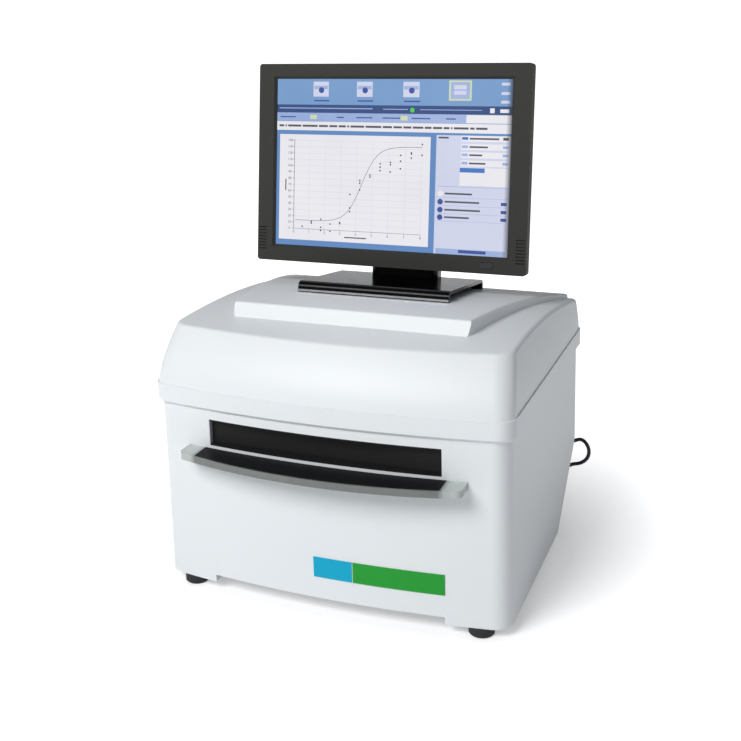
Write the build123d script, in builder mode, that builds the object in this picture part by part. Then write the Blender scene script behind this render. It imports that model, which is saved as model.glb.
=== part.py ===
from build123d import *
import os
from math import atan2, cos, degrees, pi, radians, sin, sqrt, tan

# Bench microplate reader with its own monitor on top. Millimetres, +Z up, +Y to the rear.
# The origin is on the bench, midway between the front of the shelf and the rear of the casing.

# ---------------------------------------------------------------- casing
band_half = 215.0  # half the width over the middle band
body_depth = 382.0  # front of the band, at its middle, to the rear of the casing
shelf_reach = 33.0  # how far the shelf stands out in front of the band
bow_radius = 1264.0  # the front is bowed, in plan, to this radius
foot_height = 12.0
leg_height = 9.0  # the legs stand this far below the floor pan
slot_bottom = 185.1
slot_height = 31.2
slot_half = 139.5
band_bottom = 227.0
band_height = 24.1
base_step = 4.5  # the lower housing is set in under the band by this much, in front and at the sides
rear_step = 16.0  # and by this much at the rear
cover_step = 1.5  # the top cover is set in above the band by this much
front_corner = 22.0
rear_corner = 14.0
wall = 3.0
sheet = 2.0  # sheet metal of the rear panels and decks
pan_thickness = 3.0
leg_half = 141.0  # inner edge of each leg, from the middle
undercut_top = 100.0  # the lower rear slants in below this height
undercut_run = 101.0  # and runs this far forward
band_chamfer = 4.0
band_rim = 9.0  # width of the band's frame
shadow_gap = 1.2  # rebate under the edge of the cover
fit_gap = 0.3  # between parts that are only laid beside each other
running_gap = 0.05  # between a shaft and its bore

# ---------------------------------------------------------------- top cover
ridge_height = 312.0  # top of the front face
ridge_lean = 36.0  # the front face leans back by this much
side_lean = 9.0
margin_rear_height = 288.0  # height of the cover's top at its rear edge
margin_rise = 12.0  # crown of that surface, over its chord
platform_front = 92.0  # foot of the platform's front slope, from the front
platform_slope = 13.0
slope_drop = 6.0  # the foot of that slope lies this far under the ridge's height
platform_front_half = 144.0
platform_rear_half = 196.0
platform_height = 331.0  # front edge of the platform
platform_rear_step = 6.0  # the platform still stands this far above the cover at its rear edge
platform_rise = 8.0
platform_corner = 12.0
platform_round = 3.0  # edge round of the platform
margin_round = 5.0  # and of the cover around it

# ---------------------------------------------------------------- monitor and stand
monitor_x = -5.5  # the monitor sits a little left of the middle
monitor_face = 243.0  # its lower front edge, from the front
monitor_bottom = 348.7
monitor_tilt = 7.6  # degrees it leans back
bezel_depth = 12.0
rim_depth = 13.0  # straight part of the rear shell
bulge_depth = 14.0
bulge_inset = 42.0
screen_half = 154.5
screen_height = 213.0
screen_bottom = 21.0
side_border = 24.0
top_border = 19.0
rear_flange = 2.5  # the rear shell meets the frame with a flange, then steps in
rim_inset = 6.0
stand_front = 178.0
stand_depth = 150.0
stand_half = 97.0
stand_thickness = 4.0
stand_roll = 9.0  # height of the rolled front and rear edges
neck_half = 45.0
neck_depth = 30.0
neck_front = 291.0
hinge_height = 104.0  # hinge line above the monitor's lower edge, along the screen
hinge_back = 62.0  # and behind its face
hinge_pin_radius = 4.0
hinge_barrel_radius = 9.0

# ---------------------------------------------------------------- plate transport
rail_clearance = 16.0  # between the sliding block's sweep and a rail
rail_overhang = 26.0  # how far the carriage reaches past each rail
block_half = 24.0
traverse_travel = 60.0
rail_half = block_half + traverse_travel + rail_clearance
rail_radius = 5.0
rail_height = 166.5
deck_height = 148.5
rail_block_depth = 10.0
carriage_front = 284.0
carriage_depth = 40.0
carriage_half = rail_half + rail_overhang
carriage_travel = 242.0
stop_gap = 4.0  # between the carriage and the rail blocks at each end
cross_rod_radius = 3.0
cross_rod_height = 188.5
cross_rod_spread = 9.0  # each side of the lead screw
nest_front = 152.0
plate_length = 127.76
plate_width = 85.48
nest_clearance = 0.6
nest_border = 6.0
nest_bottom = 188.0
nest_floor = 2.5
nest_height = 8.0
pulley_radius = 8.0
belt_thickness = 1.4
belt_width = 6.0
belt_x = 150.0
shutter_gap = 0.4
shutter_ratio = 0.3  # how far the shutter drops for each millimetre of the carriage's travel
shutter_thickness = 4.0
shutter_lap = 5.0

front = shelf_reach - (body_depth + shelf_reach) / 2
rear = front + body_depth
bow_centre = front + bow_radius
base_half = band_half - base_step
base_rear = rear - rear_step
leg_bottom = foot_height
pan_bottom = leg_bottom + leg_height
band_top = band_bottom + band_height
monitor_half = screen_half + side_border
monitor_height = screen_bottom + screen_height + top_border
slot_top = slot_bottom + slot_height

os.makedirs("parts", exist_ok=True)


def save(part, name):
    """Label a finished piece and write it."""
    part.label = name
    export_step(part, f"parts/{name}.step")


def bow(x, inset=0.0):
    """Y of the bowed front at x, set in from the band's front."""
    return bow_centre - sqrt((bow_radius - inset) ** 2 - x**2)


def block(low, high, mode=Mode.ADD):
    """A box between two opposite corners."""
    size = [b - a for a, b in zip(low, high)]
    middle = tuple((a + b) / 2 for a, b in zip(low, high))
    with Locations(middle):
        Box(*size, mode=mode)


def rod(start, direction, radius, length, mode=Mode.ADD):
    """A round bar from start, along direction."""
    with BuildSketch(Plane(origin=start, z_dir=direction)) as section:
        Circle(radius)
    extrude(section.sketch, amount=length, mode=mode)


def prism_x(points, x_low, x_high, mode=Mode.ADD):
    """A polygon of (y, z) points, drawn out from x_low to x_high."""
    with BuildSketch(Plane.YZ.offset(x_low)) as section:
        with BuildLine():
            Polyline(*points, close=True)
        make_face()
    extrude(section.sketch, amount=x_high - x_low, mode=mode)


def body_plan(height, half, inset, rear_y, corner, back_corner):
    """The casing's plan: bowed front, straight sides, rounded corners."""
    with BuildSketch(Plane.XY.offset(height)) as plan:
        with BuildLine():
            ThreePointArc((-half, bow(half, inset)), (0, bow(0, inset)), (half, bow(half, inset)))
            Polyline((half, bow(half, inset)), (half, rear_y), (-half, rear_y), (-half, bow(half, inset)))
        make_face()
        fillet(plan.vertices().group_by(Axis.Y)[0], corner)
        if back_corner:
            fillet(plan.vertices().group_by(Axis.Y)[-1], back_corner)
    return plan.sketch


def crown(y, start, end, rise):
    """Height at y of the arc from start to end that stands rise above its chord."""
    run = end[0] - start[0]
    drop = end[1] - start[1]
    half_chord = sqrt(run**2 + drop**2) / 2
    radius = (half_chord**2 + rise**2) / (2 * rise)
    middle_y = (start[0] + end[0]) / 2 + drop / (2 * half_chord) * (radius - rise)
    middle_z = (start[1] + end[1]) / 2 - run / (2 * half_chord) * (radius - rise)
    return middle_z + sqrt(radius**2 - (y - middle_y) ** 2)


# ================================================================ lower housing
# One moulding: bowed front and two sides, a leg under each corner, open at the rear and on top.
slant_low = (base_rear - undercut_run, leg_bottom)
slant_high = (base_rear, undercut_top)
slant_rate = (slant_high[1] - slant_low[1]) / (slant_high[0] - slant_low[0])
slant_angle = degrees(atan2(slant_high[1] - slant_low[1], slant_high[0] - slant_low[0]))


def slant_z(y):
    """Height of the slanted lower rear at y."""
    return slant_low[1] + (y - slant_low[0]) * slant_rate


panel_run = sheet / sin(radians(slant_angle))  # the slanted panel's thickness, along Y
slant_foot = slant_low[0] + leg_height / slant_rate
pan_rear = slant_foot - panel_run
reach = 30.0  # cutting tools overrun by this much
leg_front_depth = 52.0
leg_rear_front = 214.0
leg_rear_depth = 52.0
foot_x = base_half - 33.5
foot_front = 31.0
foot_rear = 246.0
foot_radius = 14.5
screw_radius = 2.5
thread_reach = 6.0
foot_places = [
    (side * foot_x, front + y) for y in (foot_front, foot_rear) for side in (-1, 1)
]
with BuildPart() as lower_housing:
    outside = body_plan(leg_bottom, base_half, base_step, base_rear, front_corner, 0)
    inside = body_plan(leg_bottom, base_half - wall, base_step + wall, base_rear + reach, front_corner - wall, 0)
    extrude(outside, amount=band_bottom - leg_bottom)
    extrude(inside, amount=band_bottom - leg_bottom, mode=Mode.SUBTRACT)
    for side in (-1, 1):
        x_in, x_out = sorted((side * leg_half, side * (base_half - wall / 2)))
        block(
            (x_in, bow(leg_half, base_step + wall / 2), leg_bottom),
            (x_out, front + leg_front_depth, pan_bottom),
        )
        block(
            (x_in, front + leg_rear_front, leg_bottom),
            (x_out, front + leg_rear_front + leg_rear_depth, pan_bottom),
        )
    # The leg blocks keep to the rounded plan of the casing.
    extrude(outside, amount=band_bottom - leg_bottom, mode=Mode.INTERSECT)
    for x, y in foot_places:
        rod((x, y, leg_bottom), (0, 0, 1), screw_radius, thread_reach, Mode.SUBTRACT)
    block((-leg_half, front - reach, leg_bottom), (leg_half, front + reach, pan_bottom), Mode.SUBTRACT)
    block(
        (-slot_half, front - reach, slot_bottom),
        (slot_half, front + reach, slot_top),
        Mode.SUBTRACT,
    )
    prism_x(
        [
            (slant_low[0] - reach, slant_z(slant_low[0] - reach)),
            (base_rear + reach, slant_z(base_rear + reach)),
            (base_rear + reach, slant_z(slant_low[0] - reach)),
        ],
        -base_half - reach,
        base_half + reach,
        Mode.SUBTRACT,
    )
save(lower_housing.part, "lower_housing")

# ================================================================ floor pan
inner_half = base_half - wall
with BuildPart() as floor_pan:
    extrude(
        body_plan(pan_bottom, inner_half, base_step + wall, pan_rear, front_corner - wall, 0),
        amount=pan_thickness,
    )
    # Cooling slots under the power supply.
    with Locations((-95, front + 150, pan_bottom)):
        with GridLocations(60, 9, 2, 9):
            Box(44, 3.5, 4 * pan_thickness, mode=Mode.SUBTRACT)
save(floor_pan.part, "floor_pan")

# ================================================================ feet
# Round rubber feet, each screwed up into its leg through a counterbore.
foot_skirt = 3.0
head_radius = 4.5
head_depth = 4.0
with BuildPart() as feet:
    for x, y in foot_places:
        rod((x, y, 0), (0, 0, 1), foot_radius, foot_height)
    chamfer(feet.edges().group_by(Axis.Z)[0], 1.5)
    for x, y in foot_places:
        rod((x, y, 0), (0, 0, 1), head_radius + fit_gap, head_depth + foot_skirt, Mode.SUBTRACT)
        rod((x, y, 0), (0, 0, 1), screw_radius, foot_height, Mode.SUBTRACT)
save(feet.part, "feet")

with BuildPart() as foot_screws:
    for x, y in foot_places:
        rod((x, y, foot_skirt), (0, 0, 1), head_radius, head_depth)
        shank = foot_height - head_depth - foot_skirt + thread_reach
        rod((x, y, foot_skirt + head_depth), (0, 0, 1), screw_radius, shank)
save(foot_screws.part, "foot_screws")

# ================================================================ rear panels
# The upright panel carries the fan and the mains inlet, the slanted one the data sockets.
fan_x = 60.0
fan_z = 152.0
fan_half = 30.0
inlet_x = -140.0
inlet_z = 160.0
inlet_half_width = 14.0
inlet_half_height = 26.0
gland_x = 178.0
gland_z = 112.0
gland_radius = 5.2
with BuildPart() as rear_panel:
    block(
        (-inner_half, base_rear - sheet, undercut_top),
        (inner_half, base_rear, band_bottom),
    )
    with BuildSketch(Plane.XZ.offset(-base_rear)) as grille:
        with Locations((fan_x, fan_z)):
            for ring in (8.0, 15.0, 22.0):
                Circle(ring + 2.6)
                Circle(ring - 1.4, mode=Mode.SUBTRACT)
            with PolarLocations(0, 3):
                Rectangle(2.4, 4 * fan_half, mode=Mode.SUBTRACT)
    extrude(grille.sketch, amount=sheet, mode=Mode.SUBTRACT)
    block(
        (inlet_x - inlet_half_width, base_rear - sheet, inlet_z - inlet_half_height),
        (inlet_x + inlet_half_width, base_rear, inlet_z + inlet_half_height),
        Mode.SUBTRACT,
    )
    rod((gland_x, base_rear - sheet, gland_z), (0, 1, 0), gland_radius, sheet, Mode.SUBTRACT)
save(rear_panel.part, "rear_panel")

socket_places = (-60.0, 0.0)
socket_half_width = 17.0
socket_half_height = 7.0
slant_middle = ((slant_foot + base_rear) / 2, slant_z((slant_foot + base_rear) / 2))
slant_plane = Plane(
    origin=(0, *slant_middle),
    x_dir=(1, 0, 0),
    z_dir=(0, sin(radians(slant_angle)), -cos(radians(slant_angle))),
)
with BuildPart() as connector_panel:
    prism_x(
        [
            (base_rear, undercut_top),
            (slant_foot, pan_bottom),
            (pan_rear, pan_bottom),
            (base_rear - panel_run, undercut_top),
        ],
        -inner_half,
        inner_half,
    )
    with BuildSketch(slant_plane) as cutouts:
        for x in socket_places:
            with Locations((x, 0)):
                Rectangle(2 * socket_half_width, 2 * socket_half_height)
        with Locations((-150, 0), (120, 0)):
            with GridLocations(9, 0, 7, 1):
                SlotOverall(46, 4, rotation=90)
    extrude(cutouts.sketch, amount=-2 * sheet, mode=Mode.SUBTRACT)
save(connector_panel.part, "connector_panel")

# Two data sockets: a flanged metal shell round an insulator, one at each cutout.
flange = 3.0
with BuildPart() as data_sockets:
    for x in socket_places:
        with BuildSketch(slant_plane) as shell:
            with Locations((x, 0)):
                Rectangle(2 * (socket_half_width + flange), 2 * (socket_half_height + flange))
        extrude(shell.sketch, amount=1.5)
        with BuildSketch(slant_plane) as neck_hole:
            with Locations((x, 0)):
                Rectangle(2 * socket_half_width - 1, 2 * socket_half_height - 1)
        extrude(neck_hole.sketch, amount=-8)
        with BuildSketch(slant_plane.offset(1.5)) as collar:
            with Locations((x, 0)):
                Trapezoid(24, 9, 80)
        extrude(collar.sketch, amount=5)
        with BuildSketch(slant_plane.offset(6.5)) as mouth:
            with Locations((x, 0)):
                Trapezoid(22, 7, 80)
        extrude(mouth.sketch, amount=-4.5, mode=Mode.SUBTRACT)
save(data_sockets.part, "data_sockets")

# ================================================================ mains inlet and its switch
inlet_flange = 3.0
inlet_depth = 22.0
socket_width = 24.0
socket_tall = 16.5
socket_depth = 16.0
socket_z = inlet_z - 13.0
rocker_z = inlet_z + 14.0
rocker_half = 8.5
rocker_tall = 5.6
pocket_tall = 7.2
pocket_depth = 12.0
rocker_pin_radius = 1.2
rocker_pin_reach = 1.4
rocker_axis = (base_rear - 2.0, rocker_z)
inlet_face = base_rear + 2.0
with BuildPart() as mains_inlet:
    block(
        (inlet_x - inlet_half_width + 0.2, inlet_face - inlet_depth, inlet_z - inlet_half_height + 0.2),
        (inlet_x + inlet_half_width - 0.2, inlet_face, inlet_z + inlet_half_height - 0.2),
    )
    block(
        (inlet_x - inlet_half_width - inlet_flange, base_rear, inlet_z - inlet_half_height - inlet_flange),
        (inlet_x + inlet_half_width + inlet_flange, inlet_face, inlet_z + inlet_half_height + inlet_flange),
    )
    block(
        (inlet_x - socket_width / 2, inlet_face - socket_depth, socket_z - socket_tall / 2),
        (inlet_x + socket_width / 2, inlet_face, socket_z + socket_tall / 2),
        Mode.SUBTRACT,
    )
    for x, z in ((-7.0, -2.0), (7.0, -2.0), (0.0, 3.0)):
        block(
            (inlet_x + x - 1, inlet_face - socket_depth - 1, socket_z + z - 2),
            (inlet_x + x + 1, inlet_face - 3, socket_z + z + 2),
        )
    block(
        (inlet_x - rocker_half - fit_gap, inlet_face - pocket_depth, rocker_z - pocket_tall),
        (inlet_x + rocker_half + fit_gap, inlet_face, rocker_z + pocket_tall),
        Mode.SUBTRACT,
    )
    rod(
        (inlet_x - rocker_half - rocker_pin_reach - fit_gap, *rocker_axis),
        (1, 0, 0),
        rocker_pin_radius + running_gap,
        2 * (rocker_half + rocker_pin_reach + fit_gap),
        Mode.SUBTRACT,
    )
save(mains_inlet.part, "mains_inlet")

# The rocker lies with its upper half pressed in, and turns on two moulded pins.
with BuildPart() as power_rocker:
    prism_x(
        [
            (rocker_axis[0] - 4.0, rocker_z - 3.0),
            (rocker_axis[0] + 4.6, rocker_z - rocker_tall),
            (rocker_axis[0] + 2.4, rocker_z),
            (rocker_axis[0] + 1.6, rocker_z + rocker_tall),
            (rocker_axis[0] - 4.0, rocker_z + 3.0),
        ],
        inlet_x - rocker_half,
        inlet_x + rocker_half,
    )
    rod(
        (inlet_x - rocker_half - rocker_pin_reach, *rocker_axis),
        (1, 0, 0),
        rocker_pin_radius,
        2 * (rocker_half + rocker_pin_reach),
    )
save(power_rocker.part, "power_rocker")

# ================================================================ cooling fan
fan_depth = 15.0
fan_bore = 27.5
fan_hub = 11.0
fan_axle = 2.0
fan_front = base_rear - sheet - fan_depth
blade_count = 7
with BuildPart() as fan_frame:
    block(
        (fan_x - fan_half, fan_front, fan_z - fan_half),
        (fan_x + fan_half, fan_front + fan_depth, fan_z + fan_half),
    )
    rod((fan_x, fan_front, fan_z), (0, 1, 0), fan_bore, fan_depth, Mode.SUBTRACT)
    rod((fan_x, fan_front, fan_z), (0, 1, 0), fan_hub, 3.0)
    for turn in (0, 90):
        with BuildSketch(Plane(origin=(fan_x, fan_front, fan_z), z_dir=(0, 1, 0))) as strut:
            Rectangle(3, 2 * fan_bore + 2, rotation=turn + 45)
        extrude(strut.sketch, amount=2.5)
    rod((fan_x, fan_front, fan_z), (0, 1, 0), fan_axle, fan_depth - 3)
save(fan_frame.part, "fan_frame")

with BuildPart() as fan_rotor:
    rod((fan_x, fan_front + 3.5, fan_z), (0, 1, 0), fan_hub, fan_depth - 5)
    for number in range(blade_count):
        turn = 2 * pi * number / blade_count
        with BuildSketch(
            Plane(
                origin=(fan_x + (fan_hub - 1) * cos(turn), fan_front + 8.5, fan_z + (fan_hub - 1) * sin(turn)),
                x_dir=(-sin(turn) * 0.8, 0.6, cos(turn) * 0.8),
                z_dir=(cos(turn), 0, sin(turn)),
            )
        ) as blade:
            Rectangle(12, 1.4)
        extrude(blade.sketch, amount=fan_bore - fan_hub - 0.5)
    rod((fan_x, fan_front, fan_z), (0, 1, 0), fan_axle + running_gap, fan_depth - 2.5, Mode.SUBTRACT)
save(fan_rotor.part, "fan_rotor")

# ================================================================ middle band
with BuildPart() as middle_band:
    extrude(body_plan(band_bottom, band_half, 0, rear, front_corner, rear_corner), amount=band_height)
    chamfer(middle_band.edges().group_by(Axis.Z)[0], band_chamfer)
    opening = body_plan(
        band_bottom, band_half - band_rim, band_rim, rear - band_rim, front_corner - band_rim, rear_corner - band_rim
    )
    extrude(opening, amount=band_height, mode=Mode.SUBTRACT)
save(middle_band.part, "middle_band")

# ================================================================ top cover
# A deep moulded hood. Its front leans back to a ridge, its top falls to the rear, and a
# platform for the monitor stands up from it, narrow in front and wide behind.
margin_start = (front + ridge_lean, ridge_height)
margin_end = (rear, margin_rear_height)
platform_start = (front + platform_front + platform_slope, platform_height)
platform_end = (rear - 3.0, margin_rear_height + platform_rear_step)
loft_steps = 4
top_height = ridge_height + 8.0


def arched_profile(start, end, rise, drop, floor_z, front_y):
    """Side view under an arched top: a face in the YZ plane."""
    middle_y = (start[0] + end[0]) / 2
    with BuildSketch(Plane.YZ.offset(-band_half - reach)) as profile:
        with BuildLine():
            ThreePointArc(
                (start[0], start[1] - drop),
                (middle_y, crown(middle_y, start, end, rise) - drop),
                (end[0], end[1] - drop),
            )
            Polyline(
                (end[0], end[1] - drop),
                (end[0], floor_z),
                (front_y, floor_z),
                (front_y, start[1] - drop),
                (start[0], start[1] - drop),
            )
        make_face()
    return profile.sketch


def hood_shell(inset, base_height):
    """The cover's leaning outer form up to above the ridge, drawn in by inset all round."""
    for step in range(loft_steps + 1):
        height = base_height + (top_height - base_height) * step / loft_steps
        share = (height - band_top) / (ridge_height - band_top)
        lean = max(share, 0) ** 1.5
        yield body_plan(
            height,
            band_half - cover_step - inset - side_lean * lean,
            cover_step + inset + ridge_lean * lean,
            rear - cover_step - inset,
            front_corner - inset,
            rear_corner - inset,
        )


def platform_plan(inset):
    """Plan of the platform: a trapezium, rounded in front."""
    with BuildSketch(Plane.XY.offset(band_top)) as plan:
        with BuildLine():
            Polyline(
                (-platform_front_half + inset, front + platform_front + inset),
                (platform_front_half - inset, front + platform_front + inset),
                (platform_rear_half - inset, platform_end[0] - inset),
                (-platform_rear_half + inset, platform_end[0] - inset),
                close=True,
            )
        make_face()
        fillet(plan.vertices().group_by(Axis.Y)[0], platform_corner)
    return plan.sketch


def platform_profile(drop):
    """Side view of the platform: front slope, then the arched top."""
    middle_y = (platform_start[0] + platform_end[0]) / 2
    slope_foot = (front + platform_front, ridge_height - slope_drop)
    far_y = platform_end[0] + reach
    far_z = crown(far_y, platform_start, platform_end, platform_rise) - drop
    with BuildSketch(Plane.YZ.offset(-band_half - reach)) as profile:
        with BuildLine():
            ThreePointArc(
                (platform_start[0], platform_start[1] - drop),
                (middle_y, crown(middle_y, platform_start, platform_end, platform_rise) - drop),
                (far_y, far_z),
            )
            Polyline(
                (far_y, far_z),
                (far_y, band_top),
                (slope_foot[0], band_top),
                (slope_foot[0], slope_foot[1] - drop),
                (platform_start[0], platform_start[1] - drop),
            )
        make_face()
    return profile.sketch


def cover_form(inset, drop, base_height):
    """Solid of the whole cover, drawn in by inset and let down by drop."""
    with BuildPart() as margin:
        loft(list(hood_shell(inset, base_height)))
        extrude(
            arched_profile(margin_start, margin_end, margin_rise, drop, base_height - 1, front - reach),
            amount=2 * (band_half + reach),
            mode=Mode.INTERSECT,
        )
    with BuildPart() as raised:
        extrude(platform_plan(inset), amount=platform_height)
        extrude(platform_profile(drop), amount=2 * (band_half + reach), mode=Mode.INTERSECT)
    return margin.part, raised.part


def rounded_top(form, radius):
    """The form with the edges of its topmost face rounded."""
    with BuildPart() as rounded:
        add(form)
        fillet(rounded.faces().sort_by(Axis.Z)[-1].edges(), radius)
    return rounded.part


outer_margin, outer_platform = cover_form(0, 0, band_top)
inner_margin, inner_platform = cover_form(wall, wall, band_top - 1)
with BuildPart() as top_cover:
    add(rounded_top(outer_margin, margin_round))
    add(rounded_top(outer_platform, platform_round))
    add(inner_margin, mode=Mode.SUBTRACT)
    add(inner_platform, mode=Mode.SUBTRACT)
save(top_cover.part, "top_cover")

# ================================================================ slot frame, shutter and guides
slot_lining = 1.6
shutter_front = front + 18.8
shutter_half = slot_half + shutter_lap
shutter_bottom = slot_bottom - shutter_lap
shutter_top = slot_top + shutter_lap
with BuildPart() as slot_frame:
    block(
        (-slot_half, front, slot_bottom),
        (slot_half, shutter_front - shutter_gap, slot_top),
    )
    extrude(outside, amount=band_bottom - leg_bottom, mode=Mode.INTERSECT)
    block(
        (-slot_half + slot_lining, front - reach, slot_bottom + slot_lining),
        (slot_half - slot_lining, front + reach, slot_top - slot_lining),
        Mode.SUBTRACT,
    )
save(slot_frame.part, "slot_frame")

with BuildPart() as shutter:
    block(
        (-shutter_half, shutter_front, shutter_bottom),
        (shutter_half, shutter_front + shutter_thickness, shutter_top),
    )
    # Stiffening groove along the back.
    block(
        (-slot_half, shutter_front + shutter_thickness / 2, slot_bottom + 4),
        (slot_half, shutter_front + shutter_thickness, slot_top - 4),
        Mode.SUBTRACT,
    )
save(shutter.part, "shutter")

guide_wall = 2.0
guide_lap = 4.0
groove_bottom = shutter_bottom - shutter_ratio * carriage_travel - shutter_gap
pan_top = pan_bottom + pan_thickness
with BuildPart() as shutter_guides:
    for side in (-1, 1):
        x_low, x_high = sorted(
            (side * (shutter_half - guide_lap), side * (shutter_half + shutter_gap + guide_wall))
        )
        groove_low, groove_high = sorted(
            (side * (shutter_half - guide_lap - 1), side * (shutter_half + shutter_gap))
        )
        block(
            (x_low, shutter_front - shutter_gap - guide_wall, pan_top),
            (x_high, shutter_front + shutter_thickness + shutter_gap + guide_wall, shutter_top),
        )
        block(
            (groove_low, shutter_front - shutter_gap, groove_bottom),
            (groove_high, shutter_front + shutter_thickness + shutter_gap, shutter_top),
            Mode.SUBTRACT,
        )
save(shutter_guides.part, "shutter_guides")

# ================================================================ shelf under the slot
# A clear slab with a bowed front edge, and a dark smoked insert let into its top.
shelf_half = 167.0
shelf_top = 181.5
shelf_thickness = 8.0
shelf_bow_radius = 620.0
shelf_corner = 8.0
insert_half = 145.0
insert_depth = 5.0
insert_border = 2.0
shelf_front = front - shelf_reach
shelf_centre = shelf_front + shelf_bow_radius


def shelf_edge(x, inset=0.0):
    """Y of the shelf's bowed front edge at x."""
    return shelf_centre - sqrt((shelf_bow_radius - inset) ** 2 - x**2)


def shelf_plan(half, inset, height, corner):
    """Plan of the shelf, from its bowed edge back into the casing."""
    with BuildSketch(Plane.XY.offset(height)) as plan:
        with BuildLine():
            ThreePointArc(
                (-half, shelf_edge(half, inset)), (0, shelf_edge(0, inset)), (half, shelf_edge(half, inset))
            )
            Polyline(
                (half, shelf_edge(half, inset)),
                (half, front + reach),
                (-half, front + reach),
                (-half, shelf_edge(half, inset)),
            )
        make_face()
        if corner:
            fillet(plan.vertices().group_by(Axis.Y)[0], corner)
    return plan.sketch


with BuildPart() as shelf:
    extrude(shelf_plan(shelf_half, 0, shelf_top - shelf_thickness, shelf_corner), amount=shelf_thickness)
    extrude(
        shelf_plan(insert_half, insert_border, shelf_top - insert_depth, 0),
        amount=insert_depth,
        mode=Mode.SUBTRACT,
    )
    extrude(outside, amount=band_bottom - leg_bottom, mode=Mode.SUBTRACT)
save(shelf.part, "shelf")

with BuildPart() as shelf_insert:
    extrude(shelf_plan(insert_half, insert_border, shelf_top - insert_depth, 0), amount=insert_depth)
    extrude(outside, amount=band_bottom - leg_bottom, mode=Mode.SUBTRACT)
save(shelf_insert.part, "shelf_insert")

# ================================================================ label plates
# Two thin plates side by side that follow the bow of the front.
label_bottom = 47.3
label_top = 71.5
label_left = -10.0
label_split = 36.5
label_right = 141.5
label_thickness = 0.8
label_joint = 1.2


def label_plate(x_low, x_high):
    """A curved plate on the front between two places."""
    x_mid = (x_low + x_high) / 2
    with BuildSketch(Plane.XY.offset(label_bottom)) as plan:
        with BuildLine():
            ThreePointArc(*[(x, bow(x, base_step)) for x in (x_low, x_mid, x_high)])
            ThreePointArc(*[(x, bow(x, base_step - label_thickness)) for x in (x_low, x_mid, x_high)])
            for x in (x_low, x_high):
                Line((x, bow(x, base_step)), (x, bow(x, base_step - label_thickness)))
        make_face()
    return plan.sketch


with BuildPart() as blue_plate:
    extrude(label_plate(label_left, label_split - label_joint / 2), amount=label_top - label_bottom)
save(blue_plate.part, "label_blue")
with BuildPart() as green_plate:
    extrude(label_plate(label_split + label_joint / 2, label_right), amount=label_top - label_bottom)
save(green_plate.part, "label_green")

# ================================================================ chassis deck
# Sheet metal deck on four pillars. It carries the rails, and the drive motor hangs under it.
deck_half = base_half - 20.5
deck_front = front + 27.0
deck_rear = front + 345.5
pillar_radius = 6.0
pillar_x = deck_half - 8.0
pillar_front = front + 75.0
pillar_rear = front + 265.5
deck_top = deck_height + sheet
belt_front = front + carriage_front - carriage_travel - stop_gap
belt_rear = front + carriage_front + carriage_depth + 13.0
motor_half = 21.0
motor_length = 42.0
shaft_radius = 2.5
deck_clearance = 6.0
pulley_height = 10.0
with BuildPart() as deck:
    block((-deck_half, deck_front, deck_height), (deck_half, deck_rear, deck_top))
    rod((belt_x, belt_rear, deck_height), (0, 0, 1), deck_clearance, sheet, Mode.SUBTRACT)
    # Riveted axle of the idler pulley, on its washer.
    rod((belt_x, belt_front, deck_top), (0, 0, 1), 5.0, 1.6)
    rod((belt_x, belt_front, deck_top), (0, 0, 1), shaft_radius, pulley_height + 3)
    # Lightening holes.
    with Locations((0, front + 190, deck_height)):
        with GridLocations(110, 120, 2, 2):
            Box(60, 70, 4 * sheet, mode=Mode.SUBTRACT)
save(deck.part, "chassis_deck")

with BuildPart() as pillars:
    for x in (-pillar_x, pillar_x):
        for y in (pillar_front, pillar_rear):
            rod((x, y, pan_top), (0, 0, 1), pillar_radius, deck_height - pan_top)
save(pillars.part, "deck_pillars")

# ================================================================ rails and their blocks
rail_block_half = 12.0
rail_front_y = front + carriage_front - carriage_travel - stop_gap - rail_block_depth
rail_rear_y = front + carriage_front + carriage_depth + 3.0 + rail_block_depth
with BuildPart() as rails:
    for x in (-rail_half, rail_half):
        rod((x, rail_front_y, rail_height), (0, 1, 0), rail_radius, rail_rear_y - rail_front_y)
save(rails.part, "rails")

with BuildPart() as rail_blocks:
    for x in (-rail_half, rail_half):
        for y in (rail_front_y, rail_rear_y - rail_block_depth):
            block(
                (x - rail_block_half, y, deck_top),
                (x + rail_block_half, y + rail_block_depth, rail_height + rail_block_half),
            )
            rod(
                (x, y, rail_height), (0, 1, 0), rail_radius + running_gap, rail_block_depth, Mode.SUBTRACT
            )
save(rail_blocks.part, "rail_blocks")

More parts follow.
